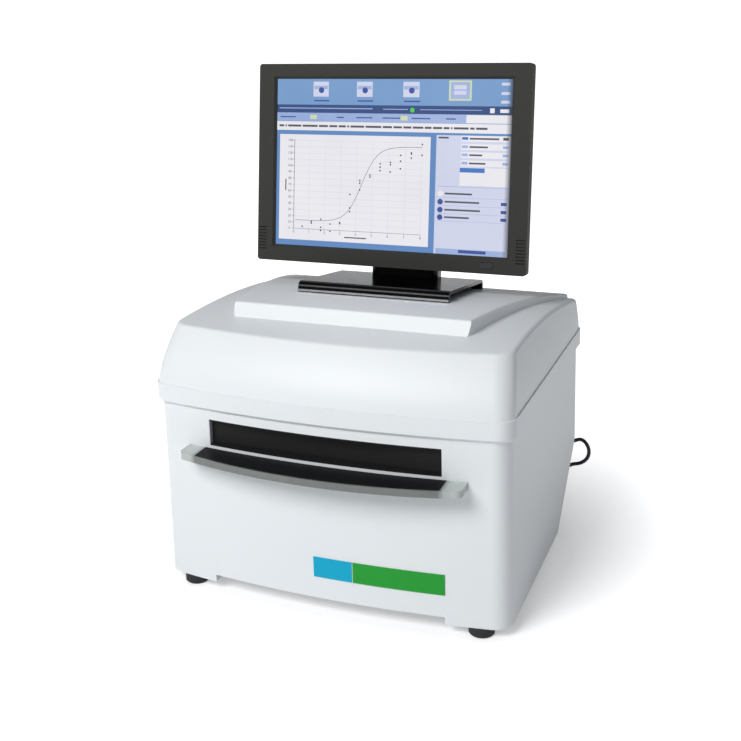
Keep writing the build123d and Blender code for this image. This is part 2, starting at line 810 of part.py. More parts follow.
# ================================================================ carriage on the rails
carriage_y = front + carriage_front
carriage_mid = carriage_y + carriage_depth / 2
beam_bottom = rail_height - 8.0
beam_top = rail_height + 10.0
lug_width = 8.0
lug_top = cross_rod_height + 8.0
clamp_half = 7.0
belt_inner_face = belt_x - pulley_radius - belt_thickness
with BuildPart() as carriage:
    block(
        (-carriage_half, carriage_y, beam_bottom),
        (carriage_half, carriage_y + carriage_depth, beam_top),
    )
    for side in (-1, 1):
        x_low, x_high = sorted((side * (carriage_half - lug_width), side * carriage_half))
        block((x_low, carriage_y, beam_top), (x_high, carriage_y + carriage_depth, lug_top))
        rod(
            (side * rail_half, carriage_y, rail_height),
            (0, 1, 0),
            rail_radius + running_gap,
            carriage_depth,
            Mode.SUBTRACT,
        )
    for y in (-cross_rod_spread, cross_rod_spread):
        rod(
            (-carriage_half, carriage_mid + y, cross_rod_height),
            (1, 0, 0),
            cross_rod_radius + running_gap,
            2 * carriage_half,
            Mode.SUBTRACT,
        )
    rod(
        (-carriage_half, carriage_mid, cross_rod_height),
        (1, 0, 0),
        shaft_radius + running_gap,
        2 * carriage_half,
        Mode.SUBTRACT,
    )
    # Arm that grips the inner run of the belt.
    block(
        (carriage_half, carriage_mid - clamp_half, beam_bottom),
        (belt_inner_face - fit_gap, carriage_mid + clamp_half, beam_bottom + belt_width),
    )
save(carriage.part, "carriage")

with BuildPart() as cross_rods:
    for y in (-cross_rod_spread, cross_rod_spread):
        rod(
            (-carriage_half, carriage_mid + y, cross_rod_height),
            (1, 0, 0),
            cross_rod_radius,
            2 * carriage_half,
        )
save(cross_rods.part, "cross_rods")

screw_motor_half = 14.0
screw_motor_length = 30.0
with BuildPart() as traverse_motor:
    block(
        (carriage_half, carriage_mid - screw_motor_half, cross_rod_height - screw_motor_half),
        (
            carriage_half + screw_motor_length,
            carriage_mid + screw_motor_half,
            cross_rod_height + screw_motor_half,
        ),
    )
    rod(
        (carriage_half, carriage_mid, cross_rod_height),
        (1, 0, 0),
        shaft_radius + running_gap,
        screw_motor_length - 4,
        Mode.SUBTRACT,
    )
save(traverse_motor.part, "traverse_motor")

with BuildPart() as lead_screw:
    rod(
        (-carriage_half, carriage_mid, cross_rod_height),
        (1, 0, 0),
        shaft_radius,
        2 * carriage_half + screw_motor_length - 5,
    )
save(lead_screw.part, "lead_screw")

# ================================================================ plate carrier
nest_y = front + nest_front
nest_half = plate_length / 2 + nest_clearance + nest_border
nest_depth = plate_width + 2 * (nest_clearance + nest_border)
block_inset = 3.0
window_ledge = 6.0
with BuildPart() as plate_carrier:
    block((-nest_half, nest_y, nest_bottom), (nest_half, nest_y + nest_depth, nest_bottom + nest_height))
    fillet(plate_carrier.edges().filter_by(Axis.Z), 5)
    block(
        (-nest_half + nest_border, nest_y + nest_border, nest_bottom + nest_floor),
        (nest_half - nest_border, nest_y + nest_depth - nest_border, nest_bottom + nest_height),
        Mode.SUBTRACT,
    )
    block(
        (-nest_half + nest_border + window_ledge, nest_y + nest_border + window_ledge, nest_bottom),
        (
            nest_half - nest_border - window_ledge,
            nest_y + nest_depth - nest_border - window_ledge,
            nest_bottom + nest_floor,
        ),
        Mode.SUBTRACT,
    )
    # Finger notch in the front border.
    block(
        (-15, nest_y, nest_bottom + nest_floor),
        (15, nest_y + nest_border, nest_bottom + nest_height),
        Mode.SUBTRACT,
    )
    block(
        (-block_half, nest_y + nest_depth, nest_bottom),
        (block_half, carriage_y + block_inset, nest_bottom + nest_height),
    )
    block(
        (-block_half, carriage_y + block_inset, beam_top + 1.0),
        (block_half, carriage_y + carriage_depth - block_inset, lug_top),
    )
    for y in (-cross_rod_spread, cross_rod_spread):
        rod(
            (-block_half, carriage_mid + y, cross_rod_height),
            (1, 0, 0),
            cross_rod_radius + running_gap,
            2 * block_half,
            Mode.SUBTRACT,
        )
    rod(
        (-block_half, carriage_mid, cross_rod_height),
        (1, 0, 0),
        shaft_radius + running_gap,
        2 * block_half,
        Mode.SUBTRACT,
    )
save(plate_carrier.part, "plate_carrier")

# ================================================================ belt drive
pulley_bottom = deck_top + 2.0
belt_bottom = pulley_bottom + 2.0
flange_radius = pulley_radius + belt_thickness + 0.6
with BuildPart() as drive_motor:
    block(
        (belt_x - motor_half, belt_rear - motor_half, deck_height - motor_length),
        (belt_x + motor_half, belt_rear + motor_half, deck_height),
    )
    rod(
        (belt_x, belt_rear, deck_height - motor_length + 4),
        (0, 0, 1),
        shaft_radius + running_gap,
        motor_length,
        Mode.SUBTRACT,
    )
save(drive_motor.part, "drive_motor")

with BuildPart() as drive_pulley:
    rod((belt_x, belt_rear, pulley_bottom), (0, 0, 1), pulley_radius, pulley_height)
    rod((belt_x, belt_rear, pulley_bottom), (0, 0, 1), flange_radius, 1.2)
    shaft_foot = deck_height - motor_length + 5
    rod((belt_x, belt_rear, shaft_foot), (0, 0, 1), shaft_radius, motor_length + pulley_height)
save(drive_pulley.part, "drive_pulley")

with BuildPart() as idler_pulley:
    rod((belt_x, belt_front, pulley_bottom), (0, 0, 1), pulley_radius, pulley_height)
    rod((belt_x, belt_front, pulley_bottom), (0, 0, 1), flange_radius, 1.2)
    rod(
        (belt_x, belt_front, pulley_bottom),
        (0, 0, 1),
        shaft_radius + running_gap,
        pulley_height,
        Mode.SUBTRACT,
    )
save(idler_pulley.part, "idler_pulley")

with BuildPart() as belt:
    with BuildSketch(Plane(origin=(belt_x, (belt_front + belt_rear) / 2, belt_bottom))):
        SlotCenterToCenter(belt_rear - belt_front, 2 * (pulley_radius + belt_thickness), rotation=90)
        SlotCenterToCenter(
            belt_rear - belt_front, 2 * (pulley_radius + 0.1), rotation=90, mode=Mode.SUBTRACT
        )
    extrude(amount=belt_width)
save(belt.part, "drive_belt")

# ================================================================ optics deck and what stands on it
optics_deck_half = base_half - 15.5
optics_bottom = 225.0
optics_top = optics_bottom + sheet
optics_front = front + 105.0
optics_rear = front + 356.0
post_x = optics_deck_half - 17.0
post_radius = 4.0
head_x = 22.0
head_front = front + 146.0
head_depth_y = 38.0
head_bottom = 211.5
head_top = 272.0
axis_height = 260.0
with BuildPart() as optics_deck:
    block((-optics_deck_half, optics_front, optics_bottom), (optics_deck_half, optics_rear, optics_top))
    block(
        (-head_x - fit_gap, head_front - fit_gap, optics_bottom),
        (head_x + fit_gap, head_front + head_depth_y + fit_gap, optics_top),
        Mode.SUBTRACT,
    )
save(optics_deck.part, "optics_deck")

with BuildPart() as optics_posts:
    for x in (-post_x, post_x):
        for y in (optics_front + 13, deck_rear - 12):
            rod((x, y, deck_top), (0, 0, 1), post_radius, optics_bottom - deck_top)
save(optics_posts.part, "optics_posts")

# The measuring head looks down on the plate through a lens, and back through the filter wheel.
lens_radius = 6.0
with BuildPart() as measuring_head:
    block((-head_x, head_front, head_bottom), (head_x, head_front + head_depth_y, head_top))
    block((-head_x - 5, head_front + 4, optics_top), (head_x + 5, head_front + head_depth_y - 4, optics_top + 3))
    down_bore = axis_height - head_bottom
    rod((0, head_front + head_depth_y / 2, head_bottom), (0, 0, 1), lens_radius, down_bore, Mode.SUBTRACT)
    rod((0, head_front + head_depth_y / 2, axis_height), (0, 1, 0), lens_radius, head_depth_y, Mode.SUBTRACT)
save(measuring_head.part, "measuring_head")

# Filter wheel on its motor, between the head and the detector.
wheel_x = 19.0
wheel_radius = 27.0
wheel_front = front + 205.5
wheel_thickness = 4.0
filter_radius = 5.0
filter_count = 6
filter_motor_half = 12.0
filter_motor_front = front + 188.5
filter_motor_depth = 15.0
with BuildPart() as filter_wheel:
    rod((wheel_x, wheel_front, axis_height), (0, 1, 0), wheel_radius, wheel_thickness)
    rod(
        (wheel_x, filter_motor_front + 3, axis_height),
        (0, 1, 0),
        shaft_radius,
        wheel_front - filter_motor_front - 3,
    )
    for number in range(filter_count):
        turn = 2 * pi * number / filter_count
        rod(
            (wheel_x + wheel_x * cos(turn), wheel_front, axis_height + wheel_x * sin(turn)),
            (0, 1, 0),
            filter_radius,
            wheel_thickness,
            Mode.SUBTRACT,
        )
save(filter_wheel.part, "filter_wheel")

with BuildPart() as filter_motor:
    block(
        (wheel_x - filter_motor_half, filter_motor_front, optics_top),
        (
            wheel_x + filter_motor_half,
            filter_motor_front + filter_motor_depth,
            axis_height + filter_motor_half,
        ),
    )
    rod(
        (wheel_x, filter_motor_front + 2, axis_height),
        (0, 1, 0),
        shaft_radius + running_gap,
        filter_motor_depth,
        Mode.SUBTRACT,
    )
save(filter_motor.part, "filter_motor")

detector_radius = 13.0
detector_front = front + 214.0
detector_length = 80.0
with BuildPart() as detector:
    rod((0, detector_front, axis_height), (0, 1, 0), detector_radius, detector_length)
    for y in (detector_front + 12, detector_front + detector_length - 20):
        block((-detector_radius, y, optics_top), (detector_radius, y + 8, axis_height))
save(detector.part, "detector")

# Two monochromators: a light-tight box each, with a grating that turns on a vertical shaft.
mono_inner = 52.0
mono_width = 92.0
mono_front = front + 150.0
mono_depth = 110.0
mono_height = 46.0
mono_wall = 3.0
grating_half = 12.0
grating_shaft = 3.0
guide_radius = 4.0
for side, role in ((-1, "excitation"), (1, "emission")):
    x_low, x_high = sorted((side * mono_inner, side * (mono_inner + mono_width)))
    x_mid = (x_low + x_high) / 2
    y_mid = mono_front + mono_depth / 2
    with BuildPart() as mono:
        mono_top = optics_top + mono_height
        block((x_low, mono_front, optics_top), (x_high, mono_front + mono_depth, mono_top))
        block(
            (x_low + mono_wall, mono_front + mono_wall, optics_top),
            (x_high - mono_wall, mono_front + mono_depth - mono_wall, mono_top - mono_wall),
            Mode.SUBTRACT,
        )
        rod(
            (x_mid, y_mid, optics_top + mono_height - mono_wall),
            (0, 0, 1),
            grating_shaft + running_gap,
            mono_wall,
            Mode.SUBTRACT,
        )
    save(mono.part, f"{role}_monochromator")
    with BuildPart() as grating:
        rod((x_mid, y_mid, optics_top + 1), (0, 0, 1), grating_shaft, mono_height)
        block(
            (x_mid - grating_half, y_mid - grating_shaft, optics_top + 4),
            (x_mid + grating_half, y_mid + grating_shaft, optics_top + mono_height - mono_wall - 4),
        )
    save(grating.part, f"{role}_grating")

with BuildPart() as light_guides:
    for side in (-1, 1):
        start = (min(side * head_x, side * mono_inner), head_front + head_depth_y / 2, axis_height - 12)
        rod(start, (1, 0, 0), guide_radius, mono_inner - head_x)
save(light_guides.part, "light_guides")

lamp_x = -112.0
lamp_front = front + 112.0
with BuildPart() as flash_lamp:
    block((lamp_x - 20, lamp_front, optics_top), (lamp_x + 20, mono_front - 4, optics_top + 44))
    rod((lamp_x, mono_front - 4, optics_top + 22), (0, 1, 0), 8, 4)
save(flash_lamp.part, "flash_lamp")

# ================================================================ electronics on the floor pan
supply_x = -124.0
supply_y = front + 162.0
supply_half_width = 54.0
supply_half_depth = 62.0
supply_height = 52.0
vent_pitch = 12.0
vent_width = 4.0
with BuildPart() as power_supply:
    block(
        (supply_x - supply_half_width, supply_y - supply_half_depth, pan_top),
        (supply_x + supply_half_width, supply_y + supply_half_depth, pan_top + supply_height),
    )
    with Locations((supply_x, supply_y, pan_top + supply_height)):
        with GridLocations(vent_pitch, 0, 7, 1):
            Box(vent_width, 1.5 * supply_half_depth, 3, mode=Mode.SUBTRACT)
save(power_supply.part, "power_supply")

board_x = 40.0
board_y = front + 155.0
board_half_width = 90.0
board_half_depth = 95.0
board_thickness = 1.6
standoff_height = 8.0
standoff_inset = 8.0
board_bottom = pan_top + standoff_height
board_top = board_bottom + board_thickness
# Chips: place from the board's middle, half size, height.
chips = ((-40, -45, 14, 4), (20, -5, 18, 5), (-30, 45, 10, 9), (55, 55, 12, 12), (60, -55, 9, 7))
with BuildPart() as main_board:
    block(
        (board_x - board_half_width, board_y - board_half_depth, board_bottom),
        (board_x + board_half_width, board_y + board_half_depth, board_top),
    )
    with Locations((board_x, board_y, pan_top + standoff_height / 2)):
        with GridLocations(
            2 * (board_half_width - standoff_inset), 2 * (board_half_depth - standoff_inset), 2, 2
        ):
            Cylinder(3.0, standoff_height)
    for x, y, half, tall in chips:
        block(
            (board_x + x - half, board_y + y - half, board_top),
            (board_x + x + half, board_y + y + half, board_top + tall),
        )
save(main_board.part, "main_board")

# ================================================================ monitor stand
stand_foot = front + stand_front
stand_low = crown(stand_foot, platform_start, platform_end, platform_rise)
stand_far = crown(stand_foot + stand_depth, platform_start, platform_end, platform_rise)
stand_angle = atan2(stand_low - stand_far, stand_depth)
stand_lift = 0.45
stand_up = (0, sin(stand_angle), cos(stand_angle))
stand_along = (0, cos(stand_angle), -sin(stand_angle))
stand_origin = (0, stand_foot, stand_low + stand_lift)
stand_top = stand_roll + stand_thickness
stand_side = Plane(origin=(-stand_half, *stand_origin[1:]), x_dir=stand_along, z_dir=(1, 0, 0))


def stand_point(along, up):
    """(y, z) of a place given along and above the stand's plate."""
    return (
        stand_origin[1] + along * stand_along[1] + up * stand_up[1],
        stand_origin[2] + along * stand_along[2] + up * stand_up[2],
    )


roll_radius = 8.0
trim_thickness = 0.8
with BuildPart() as stand_plate:
    with BuildSketch(stand_side) as side_view:
        with BuildLine():
            Polyline(
                (0, 0),
                (0, stand_top),
                (stand_depth, stand_top),
                (stand_depth, 0),
                (stand_depth - stand_thickness, 0),
                (stand_depth - stand_thickness, stand_roll),
                (stand_thickness, stand_roll),
                (stand_thickness, 0),
                close=True,
            )
        make_face()
        fillet(side_view.vertices().group_by(Axis.Y)[-1], roll_radius)
        inner_corners = side_view.vertices().filter_by_position(Axis.Y, stand_roll, stand_roll)
        fillet(inner_corners, roll_radius - stand_thickness)
    extrude(amount=2 * stand_half)
save(stand_plate.part, "stand_plate")

with BuildPart() as stand_trim:
    with BuildSketch(stand_side):
        with Locations((-trim_thickness / 2, 2.2)):
            Rectangle(trim_thickness, 2.4)
    extrude(amount=2 * stand_half)
save(stand_trim.part, "stand_trim")

# ================================================================ monitor, set out in the plane of its face
tilt = radians(monitor_tilt)
screen_up = (0, sin(tilt), cos(tilt))
screen_back = (0, cos(tilt), -sin(tilt))
face_origin = (monitor_x, front + monitor_face, monitor_bottom)


def face_plane(depth=0.0):
    """Plane of the monitor's face, moved back by depth: local X across, local Y up."""
    origin = tuple(o + depth * b for o, b in zip(face_origin, screen_back))
    return Plane(origin=origin, x_dir=(1, 0, 0), z_dir=(0, -screen_back[1], -screen_back[2]))


def face_box(x_low, x_high, low, high, shallow, deep, mode=Mode.ADD):
    """A box in the monitor: across, up the face, and back from it."""
    with BuildSketch(face_plane(shallow)) as section:
        with Locations(((x_low + x_high) / 2, (low + high) / 2)):
            Rectangle(x_high - x_low, high - low)
    extrude(section.sketch, amount=shallow - deep, mode=mode)


hinge_y = face_origin[1] + hinge_height * screen_up[1] + hinge_back * screen_back[1]
hinge_z = face_origin[2] + hinge_height * screen_up[2] + hinge_back * screen_back[2]

lip = 4.0
edge_wall = 2.5
face_corner = 4.0
panel_border = 7.0
panel_thickness = 7.0
opening_bevel = 3.2
button_x = 129.7
button_up = 10.5
button_length = 18.0
button_height = 7.0
button_gap = 0.3
button_proud = 0.8
button_travel = 1.2
speaker_low = 14.0
speaker_pitch = 4.0
speaker_slits = 8
with BuildPart() as bezel:
    face_box(-monitor_half, monitor_half, 0, monitor_height, 0, bezel_depth)
    fillet(bezel.edges().filter_by(Axis(face_origin, screen_back)), face_corner)
    face_box(
        -monitor_half + edge_wall,
        monitor_half - edge_wall,
        edge_wall,
        monitor_height - edge_wall,
        lip,
        bezel_depth,
        Mode.SUBTRACT,
    )
    with BuildSketch(face_plane()) as wide:
        with Locations((0, screen_bottom + screen_height / 2)):
            Rectangle(2 * (screen_half + opening_bevel), screen_height + 2 * opening_bevel)
    with BuildSketch(face_plane(opening_bevel)) as narrow:
        with Locations((0, screen_bottom + screen_height / 2)):
            Rectangle(2 * screen_half, screen_height)
    loft([wide.sketch, narrow.sketch], mode=Mode.SUBTRACT)
    face_box(
        -screen_half,
        screen_half,
        screen_bottom,
        screen_bottom + screen_height,
        opening_bevel - 0.1,
        lip + 1,
        Mode.SUBTRACT,
    )
    with BuildSketch(face_plane()) as button_hole:
        with Locations((button_x, button_up)):
            SlotOverall(button_length + 2 * button_gap, button_height + 2 * button_gap)
    extrude(button_hole.sketch, amount=-lip - 1, mode=Mode.SUBTRACT)
    for side in (-1, 1):
        x_low, x_high = sorted((side * (monitor_half - 13), side * (monitor_half - 2)))
        for slit in range(speaker_slits):
            up = speaker_low + slit * speaker_pitch
            face_box(x_low, x_high, up, up + 1.6, 0, 1.6, Mode.SUBTRACT)
save(bezel.part, "monitor_bezel")

panel_top = screen_bottom + screen_height + panel_border
with BuildPart() as lcd_panel:
    face_box(
        -screen_half - panel_border,
        screen_half + panel_border,
        screen_bottom - panel_border + 2,
        panel_top,
        lip,
        lip + panel_thickness,
    )
    # Clear of the button's stem.
    face_box(
        button_x - button_length,
        button_x + button_length,
        screen_bottom - panel_border,
        button_up + button_height + button_travel,
        lip,
        lip + panel_thickness,
        Mode.SUBTRACT,
    )
save(lcd_panel.part, "lcd_panel")

with BuildPart() as button:
    with BuildSketch(face_plane(-button_proud)) as cap:
        with Locations((button_x, button_up)):
            SlotOverall(button_length, button_height)
    extrude(cap.sketch, amount=-lip - button_proud)
save(button.part, "monitor_button")

with BuildPart() as monitor_back:
    face_box(-monitor_half, monitor_half, 0, monitor_height, bezel_depth, bezel_depth + rear_flange)
    fillet(monitor_back.edges().filter_by(Axis(face_origin, screen_back)), face_corner)
    face_box(
        -monitor_half + rim_inset,
        monitor_half - rim_inset,
        rim_inset,
        monitor_height - rim_inset,
        bezel_depth,
        bezel_depth + rim_depth,
    )
    face_box(
        -monitor_half + bulge_inset,
        monitor_half - bulge_inset,
        bulge_inset,
        monitor_height - bulge_inset / 2,
        bezel_depth + rim_depth,
        bezel_depth + rim_depth + bulge_depth,
    )
    fillet(monitor_back.faces().sort_by(Axis(face_origin, screen_back))[-1].edges(), bulge_depth / 2)
    face_box(
        -monitor_half + rim_inset + edge_wall,
        monitor_half - rim_inset - edge_wall,
        rim_inset + edge_wall,
        monitor_height - rim_inset - edge_wall,
        bezel_depth,
        bezel_depth + rim_depth - edge_wall,
        Mode.SUBTRACT,
    )
    face_box(
        -monitor_half + bulge_inset + bulge_depth / 2,
        monitor_half - bulge_inset - bulge_depth / 2,
        bulge_inset + bulge_depth / 2,
        monitor_height - bulge_inset / 2 - bulge_depth / 2,
        bezel_depth + rim_depth - edge_wall - 1,
        bezel_depth + rim_depth + bulge_depth - edge_wall,
        Mode.SUBTRACT,
    )
    # Cooling slots above the bulge's cavity.
    with BuildSketch(face_plane(bezel_depth + rim_depth + bulge_depth)) as slots:
        with Locations((0, monitor_height - bulge_inset - 12)):
            with GridLocations(10, 0, 15, 1):
                SlotOverall(26, 3, rotation=90)
    extrude(slots.sketch, amount=edge_wall + 2, both=True, mode=Mode.SUBTRACT)
save(monitor_back.part, "monitor_back")

# ================================================================ tilt hinge
bracket_half = 19.5
bracket_plate = 34.0
bracket_thickness = 3.0
hinge_gap = 0.4
shell_depth = bezel_depth + rim_depth + bulge_depth
with BuildPart() as tilt_bracket:
    face_box(
        -bracket_plate - monitor_x,
        bracket_plate - monitor_x,
        hinge_height - bracket_plate,
        hinge_height + bracket_plate,
        shell_depth,
        shell_depth + bracket_thickness,
    )
    face_box(
        -bracket_half - monitor_x,
        bracket_half - monitor_x,
        hinge_height - hinge_barrel_radius,
        hinge_height + hinge_barrel_radius,
        shell_depth + bracket_thickness,
        hinge_back,
    )
    rod((-bracket_half, hinge_y, hinge_z), (1, 0, 0), hinge_barrel_radius, 2 * bracket_half)
    rod(
        (-bracket_half, hinge_y, hinge_z),
        (1, 0, 0),
        hinge_pin_radius + running_gap,
        2 * bracket_half,
        Mode.SUBTRACT,
    )
save(tilt_bracket.part, "tilt_bracket")

neck_foot_front = stand_point(neck_front - stand_front, stand_top)
neck_foot_rear = stand_point(neck_front - stand_front + neck_depth, stand_top)
with BuildPart() as neck:
    prism_x(
        [
            neck_foot_front,
            neck_foot_rear,
            (hinge_y + hinge_barrel_radius + 4, hinge_z),
            (hinge_y - hinge_barrel_radius, hinge_z),
        ],
        -neck_half,
        neck_half,
    )
    fillet(
        [e for e in neck.edges() if e.length > 60 and abs(e.tangent_at(0.5).X) < 0.1],
        hinge_barrel_radius,
    )
    rod((-neck_half, hinge_y, hinge_z), (1, 0, 0), hinge_barrel_radius, 2 * neck_half)
    block(
        (-bracket_half - hinge_gap, hinge_y - 40, hinge_z - hinge_barrel_radius - 6),
        (bracket_half + hinge_gap, hinge_y + 40, hinge_z + 40),
        Mode.SUBTRACT,
    )
    rod(
        (-neck_half, hinge_y, hinge_z),
        (1, 0, 0),
        hinge_pin_radius + running_gap,
        2 * neck_half,
        Mode.SUBTRACT,
    )
save(neck.part, "stand_neck")

with BuildPart() as hinge_pin:
    rod((-neck_half, hinge_y, hinge_z), (1, 0, 0), hinge_pin_radius, 2 * neck_half)
    for x, way in ((-neck_half, -1), (neck_half, 1)):
        rod((x, hinge_y, hinge_z), (way, 0, 0), hinge_pin_radius + 2.5, 2.0)
save(hinge_pin.part, "hinge_pin")

# ================================================================ data lead
# A limp lead leaves the rear panel near its right edge, curls once beside the corner, drops to
# the bench and is put away as a coil under the slanted rear, with its plug on the coil.
lead_radius = 2.5
gland_reach = 20.0
gland_flange = 7.5
gland_flange_thickness = 2.0
coil_x = 110.0
coil_y = front + 340.0
coil_inner = 20.0
coil_outer = 35.0
coil_height = 15.0
lead_exit = base_rear + gland_reach
with BuildPart() as lead_gland:
    for y in (base_rear - sheet - gland_flange_thickness, base_rear):
        rod((gland_x, y, gland_z), (0, 1, 0), gland_flange, gland_flange_thickness)
    rod((gland_x, base_rear - sheet, gland_z), (0, 1, 0), gland_radius, sheet)
    with BuildSketch(Plane(origin=(gland_x, base_rear, gland_z), z_dir=(0, 1, 0))) as gland_root:
        Circle(gland_radius)
    with BuildSketch(Plane(origin=(gland_x, lead_exit, gland_z), z_dir=(0, 1, 0))) as gland_tip:
        Circle(lead_radius + 0.8)
    loft([gland_root.sketch, gland_tip.sketch])
save(lead_gland.part, "lead_gland")

lead_route = [
    (gland_x, lead_exit, gland_z),
    (178.0, front + 398.0, 111.5),
    (177.5, front + 407.0, 101.0),
    (177.0, front + 407.5, 86.0),
    (186.0, front + 407.0, 75.5),
    (199.5, front + 406.0, 78.5),
    (212.7, front + 405.0, 85.3),
    (222.8, front + 404.0, 74.2),
    (222.8, front + 403.0, 59.8),
    (212.7, front + 402.0, 49.7),
    (198.3, front + 401.0, 47.5),
    (189.5, front + 400.5, 37.0),
    (190.5, front + 400.0, 21.0),
    (186.5, front + 399.5, 6.5),
    (174.0, front + 397.0, lead_radius),
    (159.0, front + 391.0, lead_radius),
    (145.0, front + 382.0, lead_radius),
    (128.0, front + 375.5, lead_radius),
    (coil_x, coil_y + coil_outer - lead_radius, lead_radius),
]


def bend_radii(route):
    """Radius of each corner: 0.45 of its shorter run over the tangent of half its turn."""
    radii = []
    for before, corner, after in zip(route, route[1:], route[2:]):
        run_in = Vector(corner) - Vector(before)
        run_out = Vector(after) - Vector(corner)
        turn = radians(run_in.get_angle(run_out))
        radii.append(0.45 * min(run_in.length, run_out.length) / tan(turn / 2))
    return radii


radii = bend_radii(lead_route)
print("lead radii", [round(r, 1) for r in radii])
with BuildPart() as lead_tube:
    with BuildLine() as path:
        FilletPolyline(*lead_route, radius=radii)
    with BuildSketch(Plane(origin=lead_route[0], z_dir=(0, 1, 0))):
        Circle(lead_radius)
    sweep(path=path.line)
lead_length = sum(edge.length for edge in path.edges())
print("lead length", round(lead_length, 1), "volume", round(lead_tube.part.volume))
print("section times length", round(pi * lead_radius**2 * lead_length))
save(lead_tube.part, "lead_tube")

with BuildPart() as lead_coil:
    rod((coil_x, coil_y, 0), (0, 0, 1), coil_outer, coil_height)
    rod((coil_x, coil_y, 0), (0, 0, 1), coil_inner, coil_height, Mode.SUBTRACT)
save(lead_coil.part, "lead_coil")

# The plug lies on the coil: a moulded grip and its metal shell.
plug_y = coil_y - (coil_inner + coil_outer) / 2
grip_start = coil_x - 12.0
grip_end = coil_x + 18.0
shell_end = grip_end + 12.0
with BuildPart() as lead_plug:
    block((grip_start, plug_y - 8, coil_height), (grip_end, plug_y + 8, coil_height + 9))
    fillet(lead_plug.edges().filter_by(Axis.X), 3)
    block((grip_end, plug_y - 6, coil_height + 2.2), (shell_end, plug_y + 6, coil_height + 6.8))
    block(
        (grip_end + 2, plug_y - 5.4, coil_height + 4.5),
        (shell_end, plug_y + 5.4, coil_height + 6.3),
        Mode.SUBTRACT,
    )
save(lead_plug.part, "lead_plug")
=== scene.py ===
import math

import bpy
from mathutils import Matrix, Vector


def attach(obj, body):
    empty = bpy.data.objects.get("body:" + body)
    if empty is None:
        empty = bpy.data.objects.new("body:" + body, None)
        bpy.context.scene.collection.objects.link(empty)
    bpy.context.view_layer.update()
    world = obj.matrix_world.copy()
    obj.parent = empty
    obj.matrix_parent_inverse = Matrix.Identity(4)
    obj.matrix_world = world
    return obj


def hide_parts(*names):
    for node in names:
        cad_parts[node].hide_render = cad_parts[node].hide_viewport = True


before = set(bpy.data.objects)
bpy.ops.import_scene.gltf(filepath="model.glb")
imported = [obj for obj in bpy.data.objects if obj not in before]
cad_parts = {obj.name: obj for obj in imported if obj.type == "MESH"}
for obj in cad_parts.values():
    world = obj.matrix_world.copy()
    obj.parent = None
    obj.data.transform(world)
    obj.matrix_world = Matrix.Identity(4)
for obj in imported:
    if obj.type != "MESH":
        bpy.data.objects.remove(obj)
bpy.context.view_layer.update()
bpy.ops.object.select_all(action="DESELECT")

# ---------------------------------------------------------------- camera
# It stands a little right of the reader and above its monitor, looking down at the front left.
lens = bpy.data.cameras.new("camera")
lens.lens = 55.918
lens.sensor_width = 36.0
lens.shift_x = 0.0434
lens.shift_y = -0.1632
camera = bpy.data.objects.new("camera", lens)
bpy.context.scene.collection.objects.link(camera)
turned = Matrix.Rotation(math.radians(22.99), 4, "Z") @ Matrix.Rotation(math.radians(77.141), 4, "X")
rolled = turned @ Matrix.Rotation(math.radians(-1.862), 4, "Z")
camera.matrix_world = Matrix.Translation((0.48805, -1.24365, 0.6933)) @ rolled
bpy.context.scene.camera = camera
bpy.context.scene.view_settings.view_transform = "Standard"


# ---------------------------------------------------------------- data lead
# A limp round lead in soft black vinyl. It leaves the rear through a ribbed gland, curls once on
# its way to the bench, and the rest is wound into a neat coil with the connector laid on it.
class Reading:
    """A number that varies over a surface: a sum written with it adds the nodes that do it."""

    def __init__(self, finish, socket):
        self.finish = finish
        self.socket = socket

    def worked(self, operation, first, second=0.0):
        settings = {"operation": operation}
        return self.finish.out("ShaderNodeMath", settings, {0: first, 1: second})

    def __add__(self, other):
        return self.worked("ADD", self, other)

    __radd__ = __add__

    def __mul__(self, other):
        return self.worked("MULTIPLY", self, other)

    __rmul__ = __mul__

    def __gt__(self, other):
        return self.worked("GREATER_THAN", self, other)


